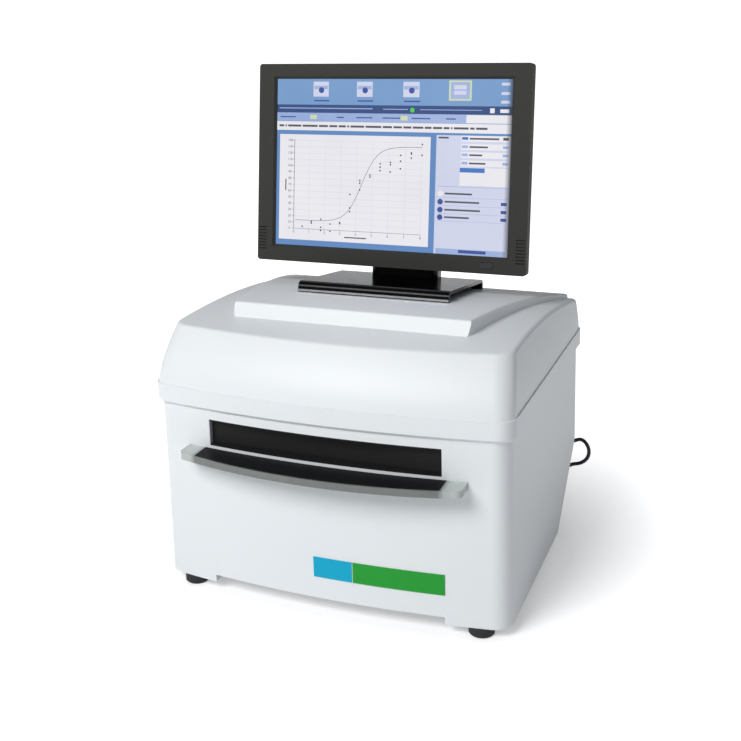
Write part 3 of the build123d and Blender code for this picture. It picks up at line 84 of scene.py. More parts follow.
class Finish:
    """One finish: a material, and the ways its nodes are added."""

    def __init__(self, name, steady=None):
        self.material = bpy.data.materials.new(name)
        self.material.use_nodes = True
        self.tree = self.material.node_tree
        self.shader = self.tree.nodes["Principled BSDF"]
        for label, value in (steady or {}).items():
            self.shader.inputs[label].default_value = value

    def out(self, kind, settings=None, links=None, output=0):
        """One node of any kind: its settings first, then its sockets, and one of its outputs."""
        node = self.tree.nodes.new(kind)
        for label, value in (settings or {}).items():
            if label == "stops":
                ramp = node.color_ramp.elements
                while len(ramp) < len(value):
                    ramp.new(0.5)
                for stop, (place, shade) in zip(ramp, value):
                    stop.position = place
                    stop.color = shade
            else:
                setattr(node, label, value)
        for label, value in (links or {}).items():
            self.feed(node.inputs[label], value)
        return Reading(self, node.outputs[output])

    def feed(self, socket, value):
        if isinstance(value, Reading):
            self.tree.links.new(value.socket, socket)
        else:
            socket.default_value = value

    def show(self, **readings):
        """Feeds the shader: colour, roughness, metallic, glow, alpha, normal."""
        names = {
            "colour": "Base Color",
            "roughness": "Roughness",
            "metallic": "Metallic",
            "glow": "Emission Color",
            "alpha": "Alpha",
            "normal": "Normal",
        }
        for label, value in readings.items():
            self.feed(self.shader.inputs[names[label]], value)

    def place(self, scale=(1, 1, 1)):
        """Where a point is on the piece, stretched along each way by scale."""
        spot = self.out("ShaderNodeTexCoord", output="Object")
        if scale == (1, 1, 1):
            return spot
        return self.out("ShaderNodeMapping", None, {"Vector": spot, "Scale": scale})

    def along(self, way):
        """One coordinate of a point on the piece, in metres."""
        return self.out("ShaderNodeSeparateXYZ", None, {0: self.place()}, way)

    def cloud(self, scale, detail=2.0, spot=None):
        """Soft random patches, scale of them to a metre."""
        links = {"Vector": spot or self.place(), "Scale": scale, "Detail": detail}
        return self.out("ShaderNodeTexNoise", None, links)

    def blend(self, share, first, second):
        """From the first colour to the second by a share."""
        links = {0: share, 6: first, 7: second}
        return self.out("ShaderNodeMix", {"data_type": "RGBA"}, links, 2)

    def relief(self, height, depth, strength=0.5):
        """Bumps of a height, depth metres deep."""
        return self.out("ShaderNodeBump", None, {"Strength": strength, "Distance": depth, "Height": height})

    def put_on(self, *names):
        """Gives the finish to nodes of the frame."""
        for name in names:
            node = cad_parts[name]
            if not node.material_slots:
                node.data.materials.append(self.material)
            for holder in node.material_slots:
                holder.material = self.material


def shade(red, green, blue):
    """A colour as the eye reads it, 0 to 255, as light."""
    parts = [c / 255 for c in (red, green, blue)]
    return (*[c / 12.92 if c < 0.04 else ((c + 0.055) / 1.055) ** 2.4 for c in parts], 1.0)


def lighter(colour, share):
    return (*[min(1.0, c * (1 + share)) for c in colour[:3]], 1.0)


lead_thickness = 0.005
lead_exit = (0.178, 0.2115, 0.112)
lead_route = [
    lead_exit,
    (0.178, 0.2235, 0.1115),
    (0.1775, 0.2325, 0.101),
    (0.177, 0.233, 0.086),
    (0.186, 0.2325, 0.0755),
    (0.1995, 0.2315, 0.0785),
    (0.2127, 0.2305, 0.0853),
    (0.2228, 0.2295, 0.0742),
    (0.2228, 0.2285, 0.0598),
    (0.2127, 0.2275, 0.0497),
    (0.1983, 0.2265, 0.0475),
    (0.1895, 0.226, 0.037),
    (0.1905, 0.2255, 0.021),
    (0.1865, 0.225, 0.0065),
    (0.174, 0.2225, 0.0025),
    (0.159, 0.2165, 0.0025),
    (0.145, 0.2075, 0.0025),
    (0.128, 0.201, 0.0025),
]
coil_x, coil_y = 0.110, 0.1655
coil_steps = 14
turn_radii = (0.0325, 0.0275, 0.0225, 0.0225, 0.0275, 0.0325, 0.0325, 0.0275, 0.0225)
turn_heights = (0.0025, 0.0025, 0.0025, 0.0075, 0.0075, 0.0075, 0.0125, 0.0125, 0.0125)
coil_turns = len(turn_radii)
for step in range(coil_turns * coil_steps):
    lap, part = divmod(step, coil_steps)
    following = min(lap + 1, coil_turns - 1)
    share = max(0.0, (part / coil_steps - 0.7) / 0.3)
    radius = turn_radii[lap] + (turn_radii[following] - turn_radii[lap]) * share
    height = turn_heights[lap] + (turn_heights[following] - turn_heights[lap]) * share
    angle = math.radians(90 + 360 * part / coil_steps)
    lead_route.append((coil_x + radius * math.cos(angle), coil_y + radius * math.sin(angle), height))
# The end rises over the turns to the connector's grip.
for degrees, radius, height in (
    (90, 0.0225, 0.0130),
    (118, 0.0220, 0.0148),
    (146, 0.0222, 0.0168),
    (174, 0.0238, 0.0186),
    (202, 0.0262, 0.0195),
    (226, 0.0298, 0.0195),
):
    angle = math.radians(degrees)
    lead_route.append((coil_x + radius * math.cos(angle), coil_y + radius * math.sin(angle), height))
lead_route += [(0.0935, 0.138, 0.0195), (0.099, 0.138, 0.0195)]

lead_curve = bpy.data.curves.new("data_lead", "CURVE")
lead_curve.dimensions = "3D"
lead_line = lead_curve.splines.new("NURBS")
lead_line.points.add(len(lead_route) - 1)
for point, spot in zip(lead_line.points, lead_route):
    point.co = (*spot, 1.0)
lead_line.order_u = 3
lead_line.use_endpoint_u = True
lead_curve.bevel_depth = lead_thickness / 2
lead_curve.bevel_resolution = 4
lead_curve.resolution_u = 6
lead_curve.use_fill_caps = True
data_lead = bpy.data.objects.new("data_lead", lead_curve)
bpy.context.scene.collection.objects.link(data_lead)

vinyl = Finish("lead_vinyl", {"IOR": 1.5})
vinyl_patches = vinyl.cloud(60.0)
vinyl_grain = vinyl.cloud(2600.0, 3.0)
vinyl.show(
    colour=vinyl.blend(vinyl_patches, shade(22, 22, 24), shade(38, 38, 40)),
    roughness=0.42 + vinyl_patches * 0.14,
    normal=vinyl.relief(vinyl_grain, 0.00008, 0.35),
)
lead_curve.materials.append(vinyl.material)
vinyl.put_on("lead_gland", "lead_plug")

# Moulded rings grip the lead's tapered gland.
gland_rings = []
for index in range(4):
    share = (index + 0.6) / 4.4
    bpy.ops.mesh.primitive_torus_add(
        major_radius=0.0052 - 0.0019 * share,
        minor_radius=0.0006,
        major_segments=28,
        minor_segments=8,
        location=(0.178, 0.1915 + 0.020 * share, 0.112),
        rotation=(math.pi / 2, 0, 0),
    )
    gland_rings.append(bpy.context.object)
bpy.ops.object.select_all(action="DESELECT")
for ring in gland_rings:
    ring.select_set(True)
bpy.context.view_layer.objects.active = gland_rings[0]
bpy.ops.object.join()
bpy.ops.object.transform_apply()
bpy.ops.object.shade_smooth()
gland_ribs = bpy.context.object
gland_ribs.name = "gland_ribs"
gland_ribs.data.materials.append(vinyl.material)
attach(gland_ribs, "reader")

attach(data_lead, "reader")
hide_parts("lead_tube", "lead_coil")

# ---------------------------------------------------------------- bench and light
# A white seamless bench top, which also glows as painted light for camera rays, a large softbox in front on
# the left and an even pale room.
bpy.ops.mesh.primitive_plane_add(size=60.0, location=(0, 0, 0))
bench = bpy.context.object
bench.name = "bench"
bench_top = Finish("bench_top", {"Roughness": 0.9, "Specular IOR Level": 0.1})
seen = bench_top.out("ShaderNodeLightPath", output="Is Camera Ray")
glossy = bench_top.out("ShaderNodeLightPath", output="Is Glossy Ray")
through = bench_top.out("ShaderNodeLightPath", output="Is Transmission Ray")
bench_top.show(colour=bench_top.blend(bench_top.cloud(3.0), shade(247, 248, 250), shade(252, 252, 253)))
# Painted glow: for camera, glossy and transmission rays the bench top glows. The glow is dim within a quarter
# metre of the reader and fully white from half a metre out, which washes out the cast shadow further away.
from_middle = bench_top.out("ShaderNodeVectorMath", {"operation": "LENGTH"}, {0: bench_top.place()}, 1)
painted_glow_share = bench_top.out("ShaderNodeMapRange", None, {"Value": from_middle, "From Min": 0.24, "From Max": 0.5})
bench_top.show(glow=bench_top.blend(painted_glow_share, (0.32, 0.32, 0.32, 1.0), (1.0, 1.0, 1.0, 1.0)))
bench_top.feed(bench_top.shader.inputs["Emission Strength"], seen + glossy + through)
bench.data.materials.append(bench_top.material)

room = bpy.data.worlds.new("room")
bpy.context.scene.world = room
room.use_nodes = True
room_nodes = room.node_tree
paths = room_nodes.nodes.new("ShaderNodeLightPath")
direct = room_nodes.nodes.new("ShaderNodeMath")
direct.operation = "MAXIMUM"
room_nodes.links.new(paths.outputs["Is Camera Ray"], direct.inputs[0])
room_nodes.links.new(paths.outputs["Is Transmission Ray"], direct.inputs[1])
strength = room_nodes.nodes.new("ShaderNodeMapRange")
strength.inputs["To Min"].default_value = 0.22
strength.inputs["To Max"].default_value = 1.0
room_nodes.links.new(direct.outputs[0], strength.inputs["Value"])
sky = room_nodes.nodes.new("ShaderNodeMix")
sky.data_type = "RGBA"
sky.inputs[6].default_value = (0.93, 0.96, 1.0, 1.0)
sky.inputs[7].default_value = (1.0, 1.0, 1.0, 1.0)
room_nodes.links.new(direct.outputs[0], sky.inputs[0])
room_nodes.links.new(sky.outputs[2], room_nodes.nodes["Background"].inputs["Color"])
room_nodes.links.new(strength.outputs[0], room_nodes.nodes["Background"].inputs["Strength"])

for name, spot, width, height, watts in (
    ("softbox", (-0.85, -2.45, 2.4), 1.6, 1.3, 77.0),
    ("rear_fill", (1.6, 1.9, 2.0), 1.6, 1.2, 1.5),
):
    panel = bpy.data.lights.new(name, "AREA")
    panel.shape = "RECTANGLE"
    panel.size = width
    panel.size_y = height
    panel.energy = watts
    panel_holder = bpy.data.objects.new(name, panel)
    panel_holder.location = spot
    panel_holder.rotation_euler = (Vector((0, 0, 0.25)) - Vector(spot)).to_track_quat("-Z", "Y").to_euler()
    bpy.context.scene.collection.objects.link(panel_holder)


# ---------------------------------------------------------------- casing
# The housing, the band and the top cover are injection mouldings in a cool white resin, with a
# fine satin texture.
def moulded(name, colour, roughness, grain, depth, spread=0.03, steady=None):
    """A moulding with a fine texture, faint flow marks and an uneven sheen."""
    finish = Finish(name, steady)
    flow = finish.cloud(9.0, 3.0)
    texture = finish.cloud(grain, 4.0)
    finish.show(
        colour=finish.blend(flow * 0.6 + texture * 0.4, lighter(colour, -spread), lighter(colour, spread)),
        roughness=roughness - 0.05 + flow * 0.06 + texture * 0.05,
        normal=finish.relief(texture, depth, 0.4),
    )
    return finish


casing_white = moulded("casing_white", shade(236, 240, 242), 0.44, 1500.0, 0.00006, 0.012, {"IOR": 1.5})
casing_white.put_on("lower_housing", "middle_band", "top_cover")

# ---------------------------------------------------------------- feet
# Four black rubber feet, each held by a steel screw sunk into it.
foot_rubber = moulded("foot_rubber", shade(34, 34, 36), 0.72, 900.0, 0.00012, 0.12)
foot_rubber.put_on("feet")


def turned_metal(name, colour, roughness, ways, spread=0.06, steady=None):
    """Bare metal with fine marks drawn out along one way."""
    finish = Finish(name, {"Metallic": 1.0, **(steady or {})})
    marks = finish.cloud(300.0, 3.0, finish.place(ways))
    wear = finish.cloud(25.0, 2.0)
    finish.show(
        colour=finish.blend(marks, lighter(colour, -spread), lighter(colour, spread)),
        roughness=roughness - 0.08 + marks * 0.12 + wear * 0.06,
        normal=finish.relief(marks, 0.00003, 0.3),
    )
    return finish


screw_steel = turned_metal("screw_steel", shade(190, 191, 194), 0.3, (1, 1, 6))
screw_steel.put_on("foot_screws")

# ---------------------------------------------------------------- floor pan and rear panels
# Folded steel sheet with a pale textured paint, held by pan-head screws along its edges.
panel_paint = moulded("panel_paint", shade(206, 209, 212), 0.5, 700.0, 0.0001, 0.02)
panel_paint.put_on("floor_pan", "rear_panel", "connector_panel")


def screw_head(spot, way, radius=0.0034):
    """A pan-head screw with a cross recess, its head standing out from spot along way."""
    bpy.ops.object.select_all(action="DESELECT")
    bpy.ops.mesh.primitive_cylinder_add(vertices=28, radius=radius, depth=radius * 0.55)
    head = bpy.context.object
    bpy.ops.object.mode_set(mode="EDIT")
    bpy.ops.mesh.select_all(action="DESELECT")
    bpy.ops.object.mode_set(mode="OBJECT")
    for face in head.data.polygons:
        face.select = face.normal.z > 0.9
    bpy.ops.object.mode_set(mode="EDIT")
    bpy.ops.mesh.bevel(offset=radius * 0.3, segments=3)
    bpy.ops.object.mode_set(mode="OBJECT")
    recess = []
    for turn in (0, math.pi / 2):
        bpy.ops.mesh.primitive_cube_add(size=1.0, location=(0, 0, radius * 0.3), rotation=(0, 0, turn))
        bar = bpy.context.object
        bar.scale = (radius * 1.1, radius * 0.22, radius * 0.3)
        recess.append(bar)
    for bar in recess:
        bpy.context.view_layer.objects.active = head
        cut = head.modifiers.new("recess", "BOOLEAN")
        cut.operation = "DIFFERENCE"
        cut.solver = "EXACT"
        cut.object = bar
        bpy.ops.object.modifier_apply(modifier=cut.name)
    for bar in recess:
        bpy.data.objects.remove(bar)
    head.matrix_world = Matrix.Translation(Vector(spot) + Vector(way) * radius * 0.27) @ (
        Vector(way).to_track_quat("Z", "Y").to_matrix().to_4x4()
    )
    bpy.ops.object.select_all(action="DESELECT")
    head.select_set(True)
    bpy.context.view_layer.objects.active = head
    bpy.ops.object.transform_apply()
    return head


def joined(name, pieces, finish, body):
    """Joins pieces into one, named, finished and riding on a body."""
    bpy.ops.object.select_all(action="DESELECT")
    for piece in pieces:
        piece.select_set(True)
    bpy.context.view_layer.objects.active = pieces[0]
    if len(pieces) > 1:
        bpy.ops.object.join()
    whole = bpy.context.object
    whole.name = name
    if finish:
        whole.data.materials.clear()
        whole.data.materials.append(finish.material)
    bpy.ops.object.shade_smooth_by_angle(angle=math.radians(35))
    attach(whole, body)
    return whole


panel_rear = 0.1915
fan_x, fan_z = 0.060, 0.152
panel_spots = [(x, z) for z in (0.106, 0.221) for x in (-0.2, -0.07, 0.0, 0.2)]
panel_screws = [screw_head((x, panel_rear, z), (0, 1, 0)) for x, z in panel_spots]
joined("panel_screws", panel_screws, screw_steel, "reader")

# ---------------------------------------------------------------- cooling fan
# A small axial fan in black resin behind a round grille. A wire guard is screwed over it outside.
black_resin = moulded("black_resin", shade(38, 38, 40), 0.5, 1100.0, 0.00008, 0.12)
black_resin.put_on("fan_frame", "fan_rotor")
guard_wires = []
for radius in (0.009, 0.0165, 0.024):
    bpy.ops.mesh.primitive_torus_add(
        major_radius=radius,
        minor_radius=0.0007,
        major_segments=48,
        minor_segments=8,
        location=(fan_x, panel_rear + 0.0016, fan_z),
        rotation=(math.pi / 2, 0, 0),
    )
    guard_wires.append(bpy.context.object)
for turn in range(4):
    angle = math.radians(45 + 90 * turn)
    way = Vector((math.cos(angle), 0, math.sin(angle)))
    middle = Vector((fan_x, panel_rear + 0.0008, fan_z)) + way * 0.0195
    bpy.ops.mesh.primitive_cylinder_add(vertices=10, radius=0.0007, depth=0.023, location=middle)
    spoke = bpy.context.object
    spoke.rotation_euler = way.to_track_quat("Z", "Y").to_euler()
    guard_wires.append(spoke)
bpy.ops.object.select_all(action="DESELECT")
for wire in guard_wires:
    wire.select_set(True)
bpy.context.view_layer.objects.active = guard_wires[0]
bpy.ops.object.transform_apply()
guard_steel = turned_metal("guard_steel", shade(205, 206, 208), 0.25, (1, 1, 1))
joined("fan_guard", guard_wires, guard_steel, "reader")
guard_screws = []
for turn in range(4):
    angle = math.radians(45 + 90 * turn)
    spot = (fan_x + 0.0335 * math.cos(angle), panel_rear, fan_z + 0.0335 * math.sin(angle))
    guard_screws.append(screw_head(spot, (0, 1, 0), 0.003))
joined("guard_screws", guard_screws, screw_steel, "reader")

# ---------------------------------------------------------------- mains inlet and switch
# A three-pin inlet and a rocker in one black resin body that snaps into the panel. Its blades
# are tinned brass, but the inlet takes the black resin finish all over.
inlet_resin = moulded("inlet_resin", shade(30, 30, 32), 0.42, 1300.0, 0.00006, 0.15)
inlet_resin.put_on("mains_inlet")
rocker_resin = moulded("rocker_resin", shade(24, 24, 26), 0.3, 1500.0, 0.00004, 0.15)
rocker_resin.put_on("power_rocker")

# ---------------------------------------------------------------- data sockets
# Two nine-way sockets: a plated steel shell round a blue insulator with its contacts. Both take the plated
# steel finish all over.
socket_plate = turned_metal("socket_plate", shade(196, 197, 200), 0.28, (8, 1, 1))
socket_plate.put_on("data_sockets")

# ---------------------------------------------------------------- shutter
# A flat dark plate in matt resin closes the slot from inside and slides down in two channels. The
# slot is lined in dark resin, whose dark colour also stands in as painted shade inside the deep recess, with
# a white end piece on the left.
dull = {"Specular IOR Level": 0.2}
shutter_resin = moulded("shutter_resin", shade(32, 32, 33), 0.62, 800.0, 0.00006, 0.08, dull)
shutter_resin.put_on("shutter")
slot_lining_and_shade = moulded("slot_lining_and_shade", shade(30, 30, 31), 0.62, 800.0, 0.00006, 0.08, dull)
lining_inside = 0.13785
lining_end = slot_lining_and_shade.along(0) * -1.0 > lining_inside
# The lining's dark tone is partly painted shade of the recess, not only the resin's own colour.
lining_and_shade_tone = slot_lining_and_shade.blend(slot_lining_and_shade.cloud(9.0), shade(27, 27, 28), shade(33, 33, 34))
slot_lining_and_shade.show(colour=slot_lining_and_shade.blend(lining_end, lining_and_shade_tone, shade(226, 226, 236)))
slot_lining_and_shade.put_on("slot_frame")
black_resin.put_on("shutter_guides")

# ---------------------------------------------------------------- shelf
# A slab of clear acrylic with polished edges, its two ends coloured lighter as a painted glint, and a smoked
# insert let flush into its top.
clear_acrylic = Finish("clear_acrylic", {"IOR": 1.49, "Transmission Weight": 0.4})
acrylic_haze = clear_acrylic.cloud(40.0, 3.0)
across_shelf = clear_acrylic.along(0)
# Painted glint: beyond about 0.145 m from the middle the slab's colour turns much lighter, standing in for
# light caught in its polished ends.
painted_glint_ends = clear_acrylic.out(
    "ShaderNodeMapRange", None, {"Value": across_shelf * across_shelf, "From Min": 0.0205, "From Max": 0.0225}
)
edge_tone = clear_acrylic.blend(acrylic_haze, shade(126, 132, 128), shade(146, 152, 148))
clear_acrylic.show(
    colour=clear_acrylic.blend(painted_glint_ends, edge_tone, shade(212, 218, 216)),
    roughness=0.10 + acrylic_haze * 0.12,
    normal=clear_acrylic.relief(clear_acrylic.cloud(420.0, 2.0), 0.00012, 0.3),
)
clear_acrylic.put_on("shelf")
smoked_acrylic = Finish("smoked_acrylic", {"IOR": 1.49, "Specular IOR Level": 0.05})
smoke = smoked_acrylic.cloud(30.0, 2.0)
smoked_acrylic.show(
    colour=smoked_acrylic.blend(smoke, shade(22, 23, 24), shade(30, 31, 32)),
    roughness=0.4 + smoke * 0.1,
    normal=smoked_acrylic.relief(smoked_acrylic.cloud(900.0, 3.0), 0.00003, 0.3),
)
smoked_acrylic.put_on("shelf_insert")

# ---------------------------------------------------------------- label plates
# Two thin printed plates, a blue and a green one side by side, glued flat to the front.
def printed(name, colour):
    """Ink under a clear satin film, with a faint print screen."""
    finish = Finish(name, {"Coat Weight": 0.08, "Coat Roughness": 0.25, "Specular IOR Level": 0.2})
    screen = finish.cloud(2200.0, 2.0)
    wash = finish.cloud(12.0, 2.0)
    finish.show(
        colour=finish.blend(screen * 0.3 + wash * 0.7, lighter(colour, -0.08), lighter(colour, 0.08)),
        roughness=0.4 + wash * 0.1,
        normal=finish.relief(screen, 0.00003, 0.2),
    )
    return finish


printed("label_blue_print", shade(0, 172, 209)).put_on("label_blue")
printed("label_green_print", shade(34, 156, 50)).put_on("label_green")

# ---------------------------------------------------------------- chassis and plate transport
# A zinc-plated deck on four pillars, ground steel rails, and a cast carriage that carries the
# plate nest along and across. A toothed belt draws it.
zinc_plate = turned_metal("zinc_plate", shade(188, 192, 198), 0.34, (1, 3, 1), 0.05)
zinc_plate.put_on("chassis_deck", "optics_deck")
ground_steel = turned_metal("ground_steel", shade(205, 206, 208), 0.16, (1, 12, 1))
ground_steel.put_on("rails", "cross_rods", "lead_screw", "hinge_pin")
cast_metal = turned_metal("cast_metal", shade(176, 178, 181), 0.42, (1, 1, 1), 0.05)
cast_metal.put_on("deck_pillars", "rail_blocks", "carriage", "optics_posts", "drive_pulley", "idler_pulley")
motor_paint = moulded("motor_paint", shade(44, 44, 47), 0.38, 600.0, 0.00006, 0.1, {"Metallic": 0.3})
motor_paint.put_on("drive_motor", "traverse_motor", "filter_motor")
nest_resin = moulded("nest_resin", shade(30, 31, 33), 0.58, 900.0, 0.00008, 0.12)
nest_resin.put_on("plate_carrier")
belt_rubber = moulded("belt_rubber", shade(26, 26, 27), 0.75, 1400.0, 0.00012, 0.15)
belt_rubber.put_on("drive_belt")

# ---------------------------------------------------------------- optics
# Anodised and painted boxes on the upper deck: two monochromators, the measuring head with its
# light guides, the filter wheel, the detector and the flash lamp.
black_anodised = moulded("black_anodised", shade(28, 28, 30), 0.36, 1000.0, 0.00003, 0.1, {"Metallic": 0.5})
black_anodised.put_on("measuring_head", "detector", "excitation_monochromator", "emission_monochromator")
black_anodised.put_on("light_guides")
wheel_metal = turned_metal("wheel_metal", shade(182, 184, 188), 0.32, (6, 1, 6))
wheel_metal.put_on("filter_wheel", "flash_lamp")
ruled_mirror = Finish("ruled_mirror", {"Metallic": 1.0})
ruled_lines = {"Vector": ruled_mirror.place(), "Scale": 900.0}
ruling = ruled_mirror.out("ShaderNodeTexWave", {"bands_direction": "X"}, ruled_lines)
ruled_mirror.show(
    colour=ruled_mirror.blend(ruling, shade(190, 196, 212), shade(226, 220, 206)),
    roughness=0.08 + ruling * 0.08,
    normal=ruled_mirror.relief(ruling, 0.00002, 0.3),
)
ruled_mirror.put_on("excitation_grating", "emission_grating")

# ---------------------------------------------------------------- electronics
# The power supply is a cage of punched steel, and the main board is green with black chips.
cage_steel = turned_metal("cage_steel", shade(180, 183, 187), 0.38, (3, 1, 1))
cage_steel.put_on("power_supply")
board_green = Finish("board_green", {"Coat Weight": 0.4, "Coat Roughness": 0.2})
tracks = board_green.out(
    "ShaderNodeTexBrick",
    {"offset": 0.5},
    {"Vector": board_green.place((1, 1, 0)), "Scale": 130.0, "Mortar Size": 0.09},
    1,
)
raised = board_green.along(2) > 0.0345
lacquer = board_green.blend(tracks, shade(18, 88, 48), shade(52, 132, 78))
board_green.show(
    colour=board_green.blend(raised, lacquer, shade(30, 30, 32)),
    roughness=0.35 + board_green.cloud(200.0) * 0.15,
    normal=board_green.relief(tracks, 0.00004, 0.3),
)
board_green.put_on("main_board")

# ---------------------------------------------------------------- monitor stand
# A pressed plate with rolled edges in gloss black, a bright trim strip along its front, and a
# hollow neck that carries the tilt hinge.
gloss_black = Finish(
    "gloss_black", {"IOR": 1.52, "Specular IOR Level": 0.12, "Coat Weight": 0.03, "Coat Roughness": 0.1}
)
orange_peel = gloss_black.cloud(160.0, 2.0)
gloss_black.show(
    colour=gloss_black.blend(orange_peel, shade(4, 4, 5), shade(8, 8, 9)),
    roughness=0.14 + orange_peel * 0.1,
    normal=gloss_black.relief(orange_peel, 0.00004, 0.15),
)
gloss_black.put_on("stand_plate", "stand_neck")
bright_trim = turned_metal("bright_trim", shade(190, 191, 193), 0.3, (12, 1, 1))
bright_trim.put_on("stand_trim")
cast_metal.put_on("tilt_bracket")

# ---------------------------------------------------------------- monitor
# Front frame and rear shell in charcoal resin snap together round the panel. The frame has slots
# for its speakers low on each side and an oval button low on the right.
charcoal = moulded("charcoal", shade(52, 52, 48), 0.62, 1300.0, 0.00006, 0.06, {"Specular IOR Level": 0.22})
charcoal.put_on("monitor_bezel", "monitor_back")
button_gloss = moulded("button_gloss", shade(40, 40, 42), 0.22, 900.0, 0.00002, 0.1, {"Coat Weight": 0.6})
button_gloss.put_on("monitor_button")

# ---------------------------------------------------------------- screen
# The lit panel behind the frame. It shows an analysis page: a header with buttons, tabs, a plot
# of a rising curve with its numbered scales, and a column of choices beside it.
screen_width = 0.309
screen_tall = 0.213
screen_foot = 0.021
face_low = Vector((-0.0055, 0.0685, 0.3487))
lean = math.radians(7.6)
face_turn = Matrix(
    (
        (1, 0, 0, face_low.x),
        (0, math.sin(lean), -math.cos(lean), face_low.y),
        (0, math.cos(lean), math.sin(lean), face_low.z),
        (0, 0, 0, 1),
    )
)
panel_depth = 0.004
layer_gap = 0.00006


def lit(name, colour, second=None):
    """A lit colour through the panel's fine grid of cells, with painted shade dimming it close to the right
    side.
    """
    finish = Finish(name, {"Base Color": (0.02, 0.02, 0.02, 1), "Roughness": 0.3, "Emission Strength": 1.0})
    across = finish.along(0)
    columns = {"Vector": finish.place(), "Scale": 600.0}
    cells = finish.out("ShaderNodeTexWave", {"bands_direction": "X"}, columns)
    # Painted shade: the glow darkens over the last few millimetres towards the right side of the panel.
    edge_shade = finish.out("ShaderNodeMapRange", None, {"Value": across, "From Min": 0.149, "From Max": 0.142})
    drift = finish.cloud(14.0)
    glow = finish.blend(drift, lighter(colour, -0.06), second or lighter(colour, 0.06))
    glow = finish.blend(cells * 0.08, glow, (0.0, 0.0, 0.0, 1.0))
    finish.show(glow=finish.blend(edge_shade * 0.86 + 0.14, (0.004, 0.004, 0.006, 1.0), glow))
    return finish


glass_dark = moulded("screen_glass", shade(30, 34, 42), 0.3, 500.0, 0.00002, 0.1)
glass_dark.put_on("lcd_panel")
lit_finishes = {
    "header": lit("lit_header", shade(104, 148, 200), shade(120, 158, 205)),
    "strip": lit("lit_strip", shade(24, 62, 122)),
    "tab": lit("lit_tab", shade(128, 160, 214), shade(176, 190, 228)),
    "frame": lit("lit_frame", shade(88, 132, 190)),
    "white": lit("lit_white", shade(232, 231, 238), shade(238, 237, 242)),
    "lilac": lit("lit_lilac", shade(206, 210, 232)),
    "ink": lit("lit_ink", shade(70, 72, 86)),
    "faint": lit("lit_faint", shade(206, 205, 216)),
    "pick": lit("lit_pick", shade(58, 112, 190)),
    "green": lit("lit_green", shade(70, 200, 70)),
    "lime": lit("lit_lime", shade(204, 216, 172)),
    "mark": lit("lit_mark", shade(40, 70, 150)),
}


def on_panel(across, down, layer):
    """A place on the panel from thousandths across and down."""
    x = (across / 1000 - 0.5) * screen_width
    up = screen_foot + (1 - down / 1000) * screen_tall
    return (x, up, -panel_depth + layer * layer_gap)


screen_parts = []


def tile(left, top, right, bottom, layer, tone):
    """A flat lit field of the page."""
    low = on_panel(left, bottom, layer)
    high = on_panel(right, top, layer)
    middle = ((low[0] + high[0]) / 2, (low[1] + high[1]) / 2, low[2])
    bpy.ops.mesh.primitive_plane_add(size=1.0, location=middle)
    field = bpy.context.object
    field.scale = (high[0] - low[0], high[1] - low[1], 1.0)
    field.data.materials.append(lit_finishes[tone].material)
    screen_parts.append(field)


def stroke(spots, thickness, layer, tone):
    """A thin drawn line through places on the page."""
    for (x_a, y_a), (x_b, y_b) in zip(spots, spots[1:]):
        start = Vector(on_panel(x_a, y_a, layer))
        end = Vector(on_panel(x_b, y_b, layer))
        run = end - start
        bpy.ops.mesh.primitive_plane_add(size=1.0, location=(start + end) / 2)
        piece = bpy.context.object
        piece.scale = (run.length + thickness * 0.4, thickness, 1.0)
        piece.rotation_euler = (0, 0, math.atan2(run.y, run.x))
        piece.data.materials.append(lit_finishes[tone].material)
        screen_parts.append(piece)


def dot(across, down, radius, layer, tone):
    """A round mark on the page."""
    bpy.ops.mesh.primitive_circle_add(
        vertices=12, radius=radius, fill_type="NGON", location=on_panel(across, down, layer)
    )
    bpy.context.object.data.materials.append(lit_finishes[tone].material)
    screen_parts.append(bpy.context.object)


def number(text, across, down, size, layer):
    """A number on a scale, set out flat."""
    bpy.ops.object.text_add(location=on_panel(across, down, layer))
    digits = bpy.context.object
    digits.data.body = text
    digits.data.size = size
    digits.data.align_x = "CENTER"
    digits.data.align_y = "CENTER"
    bpy.ops.object.convert(target="MESH")
    digits = bpy.context.object
    digits.data.materials.clear()
    digits.data.materials.append(lit_finishes["ink"].material)
    screen_parts.append(digits)


# Fields of the page, from the back.
tile(0, 0, 1000, 1000, 1, "frame")
tile(0, 0, 1000, 152, 2, "header")
tile(0, 152, 1000, 200, 2, "strip")
tile(0, 200, 1000, 250, 2, "tab")
tile(818, 202, 1000, 248, 3, "white")
tile(0, 252, 1000, 305, 2, "white")
tile(14, 330, 674, 966, 2, "white")
tile(698, 318, 1000, 1000, 2, "lilac")
tile(706, 968, 990, 1000, 3, "tab")
tile(800, 972, 912, 990, 4, "mark")
# Header buttons with their marks.
for middle in (197, 389, 588):
    tile(middle - 34, 16, middle + 34, 104, 3, "lilac")
    tile(middle - 30, 40, middle + 30, 60, 4, "tab")
    dot(middle + 2, 66, 0.0038, 5, "mark")
    tile(middle - 30, 124, middle + 38, 132, 3, "mark")
tile(744, 8, 836, 122, 3, "lime")
tile(751, 17, 829, 113, 4, "tab")
tile(765, 34, 815, 58, 5, "lilac")
tile(765, 66, 815, 88, 5, "lilac")
for low in (20, 72, 120):
    tile(955, low, 990, low + 16, 3, "lilac")
# Status strip and tabs.
tile(10, 170, 425, 176, 3, "tab")
tile(470, 172, 575, 177, 3, "tab")
dot(594, 178, 0.0030, 4, "green")
tile(625, 173, 880, 177, 3, "tab")
tile(912, 163, 930, 190, 3, "white")
tile(952, 168, 988, 188, 3, "white")
for left, right in ((15, 85), (268, 300), (355, 425), (468, 545), (592, 670), (735, 775)):
    tile(left, 222, right, 229, 3, "mark")
for left in (150, 545):
    tile(left, 212, left + 30, 238, 3, "lime")
# Title row: short dashes stand for its words.
left = 10
for word in (28, 12, 66, 74, 46, 42, 38, 14, 66, 74, 46, 42, 40, 50, 34, 44, 30, 12, 66, 24, 52):
    tile(left, 272, min(left + word - 6, 985), 284, 3, "ink")
    left += word
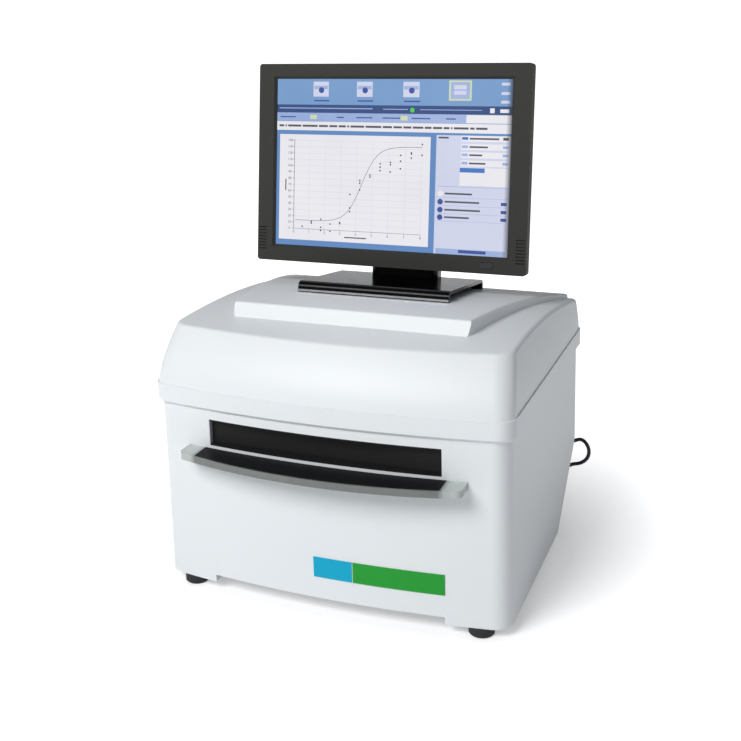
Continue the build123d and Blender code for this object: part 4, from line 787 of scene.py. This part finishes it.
# Grid, scales and numbers of the plot.
axis_left, axis_right, axis_top, axis_foot = 82, 640, 366, 898
for row in range(15):
    down = axis_top + (axis_foot - axis_top) * row / 14
    tile(axis_left, down - 0.6, axis_right, down + 0.6, 3, "faint")
    tile(axis_left - 8, down - 1, axis_left, down + 1, 4, "ink")
    number(str(140 - 10 * row), 62, down, 0.0044, 4)
for column in range(9):
    across = axis_left + (axis_right - axis_left) * column / 8
    tile(across - 0.5, axis_top, across + 0.5, axis_foot, 3, "faint")
    tile(across - 0.7, axis_foot, across + 0.7, axis_foot + 8, 4, "ink")
    number(str(column), across, axis_foot + 20, 0.0044, 4)
tile(axis_left - 1, axis_top - 8, axis_left + 1, axis_foot, 5, "ink")
tile(axis_left, axis_foot - 1, axis_right, axis_foot + 1, 5, "ink")
tile(312, 934, 408, 941, 3, "ink")
tile(41, 600, 46, 668, 3, "ink")
# The fitted curve and the measured points.
curve = []
for step in range(41):
    across = 90 + 548 * step / 40
    rise = 1 / (1 + math.exp(-(across - 384) / 33))
    curve.append((across, 846 - 455 * rise))
stroke(curve, 0.00055, 6, "ink")
measured = (
    (122, 884), (163, 862), (163, 852), (206, 836), (206, 884), (206, 903), (248, 862), (248, 905),
    (291, 850), (291, 856), (334, 680), (334, 760), (334, 782), (376, 595), (376, 610), (376, 650),
    (420, 560), (420, 572), (463, 492), (463, 512), (463, 532), (507, 482), (507, 496), (507, 538),
    (550, 440), (550, 474), (550, 518), (595, 424), (595, 430), (595, 454), (640, 374), (640, 436),
)
for across, down in measured:
    dot(across, down, 0.0011, 7, "ink")
# Column of choices.
tile(706, 327, 748, 337, 3, "ink")
for row, (top, word) in enumerate(((318, 118), (365, 74), (411, 52), (458, 66))):
    tile(800, top, 992, top + 34, 3, "white")
    tile(803, top + 8, 828, top + 24, 4, "pick" if row == 0 else "tab")
    tile(834, top + 12, 834 + word, top + 22, 4, "ink")
    tile(968, top + 8, 990, top + 24, 4, "ink" if row == 0 else "tab")
tile(797, 499, 992, 603, 3, "white")
tile(797, 501, 898, 527, 4, "pick")
tile(706, 609, 992, 612, 3, "tab")
for row, (top, word) in enumerate(((636, 112), (683, 142), (729, 146), (772, 102))):
    tile(706, top + 36, 992, top + 38, 3, "tab")
    dot(720, top + 16, 0.0036, 4, "white" if row == 0 else "mark")
    tile(738, top + 10, 738 + word, top + 20, 4, "ink")
    if row:
        tile(967, top + 8, 990, top + 26, 4, "mark")

bpy.ops.object.select_all(action="DESELECT")
for part in screen_parts:
    part.select_set(True)
bpy.context.view_layer.objects.active = screen_parts[0]
bpy.ops.object.join()
screen_page = bpy.context.object
screen_page.name = "screen_page"
bpy.ops.object.transform_apply()
screen_page.matrix_world = face_turn
bpy.ops.object.transform_apply()
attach(screen_page, "monitor")
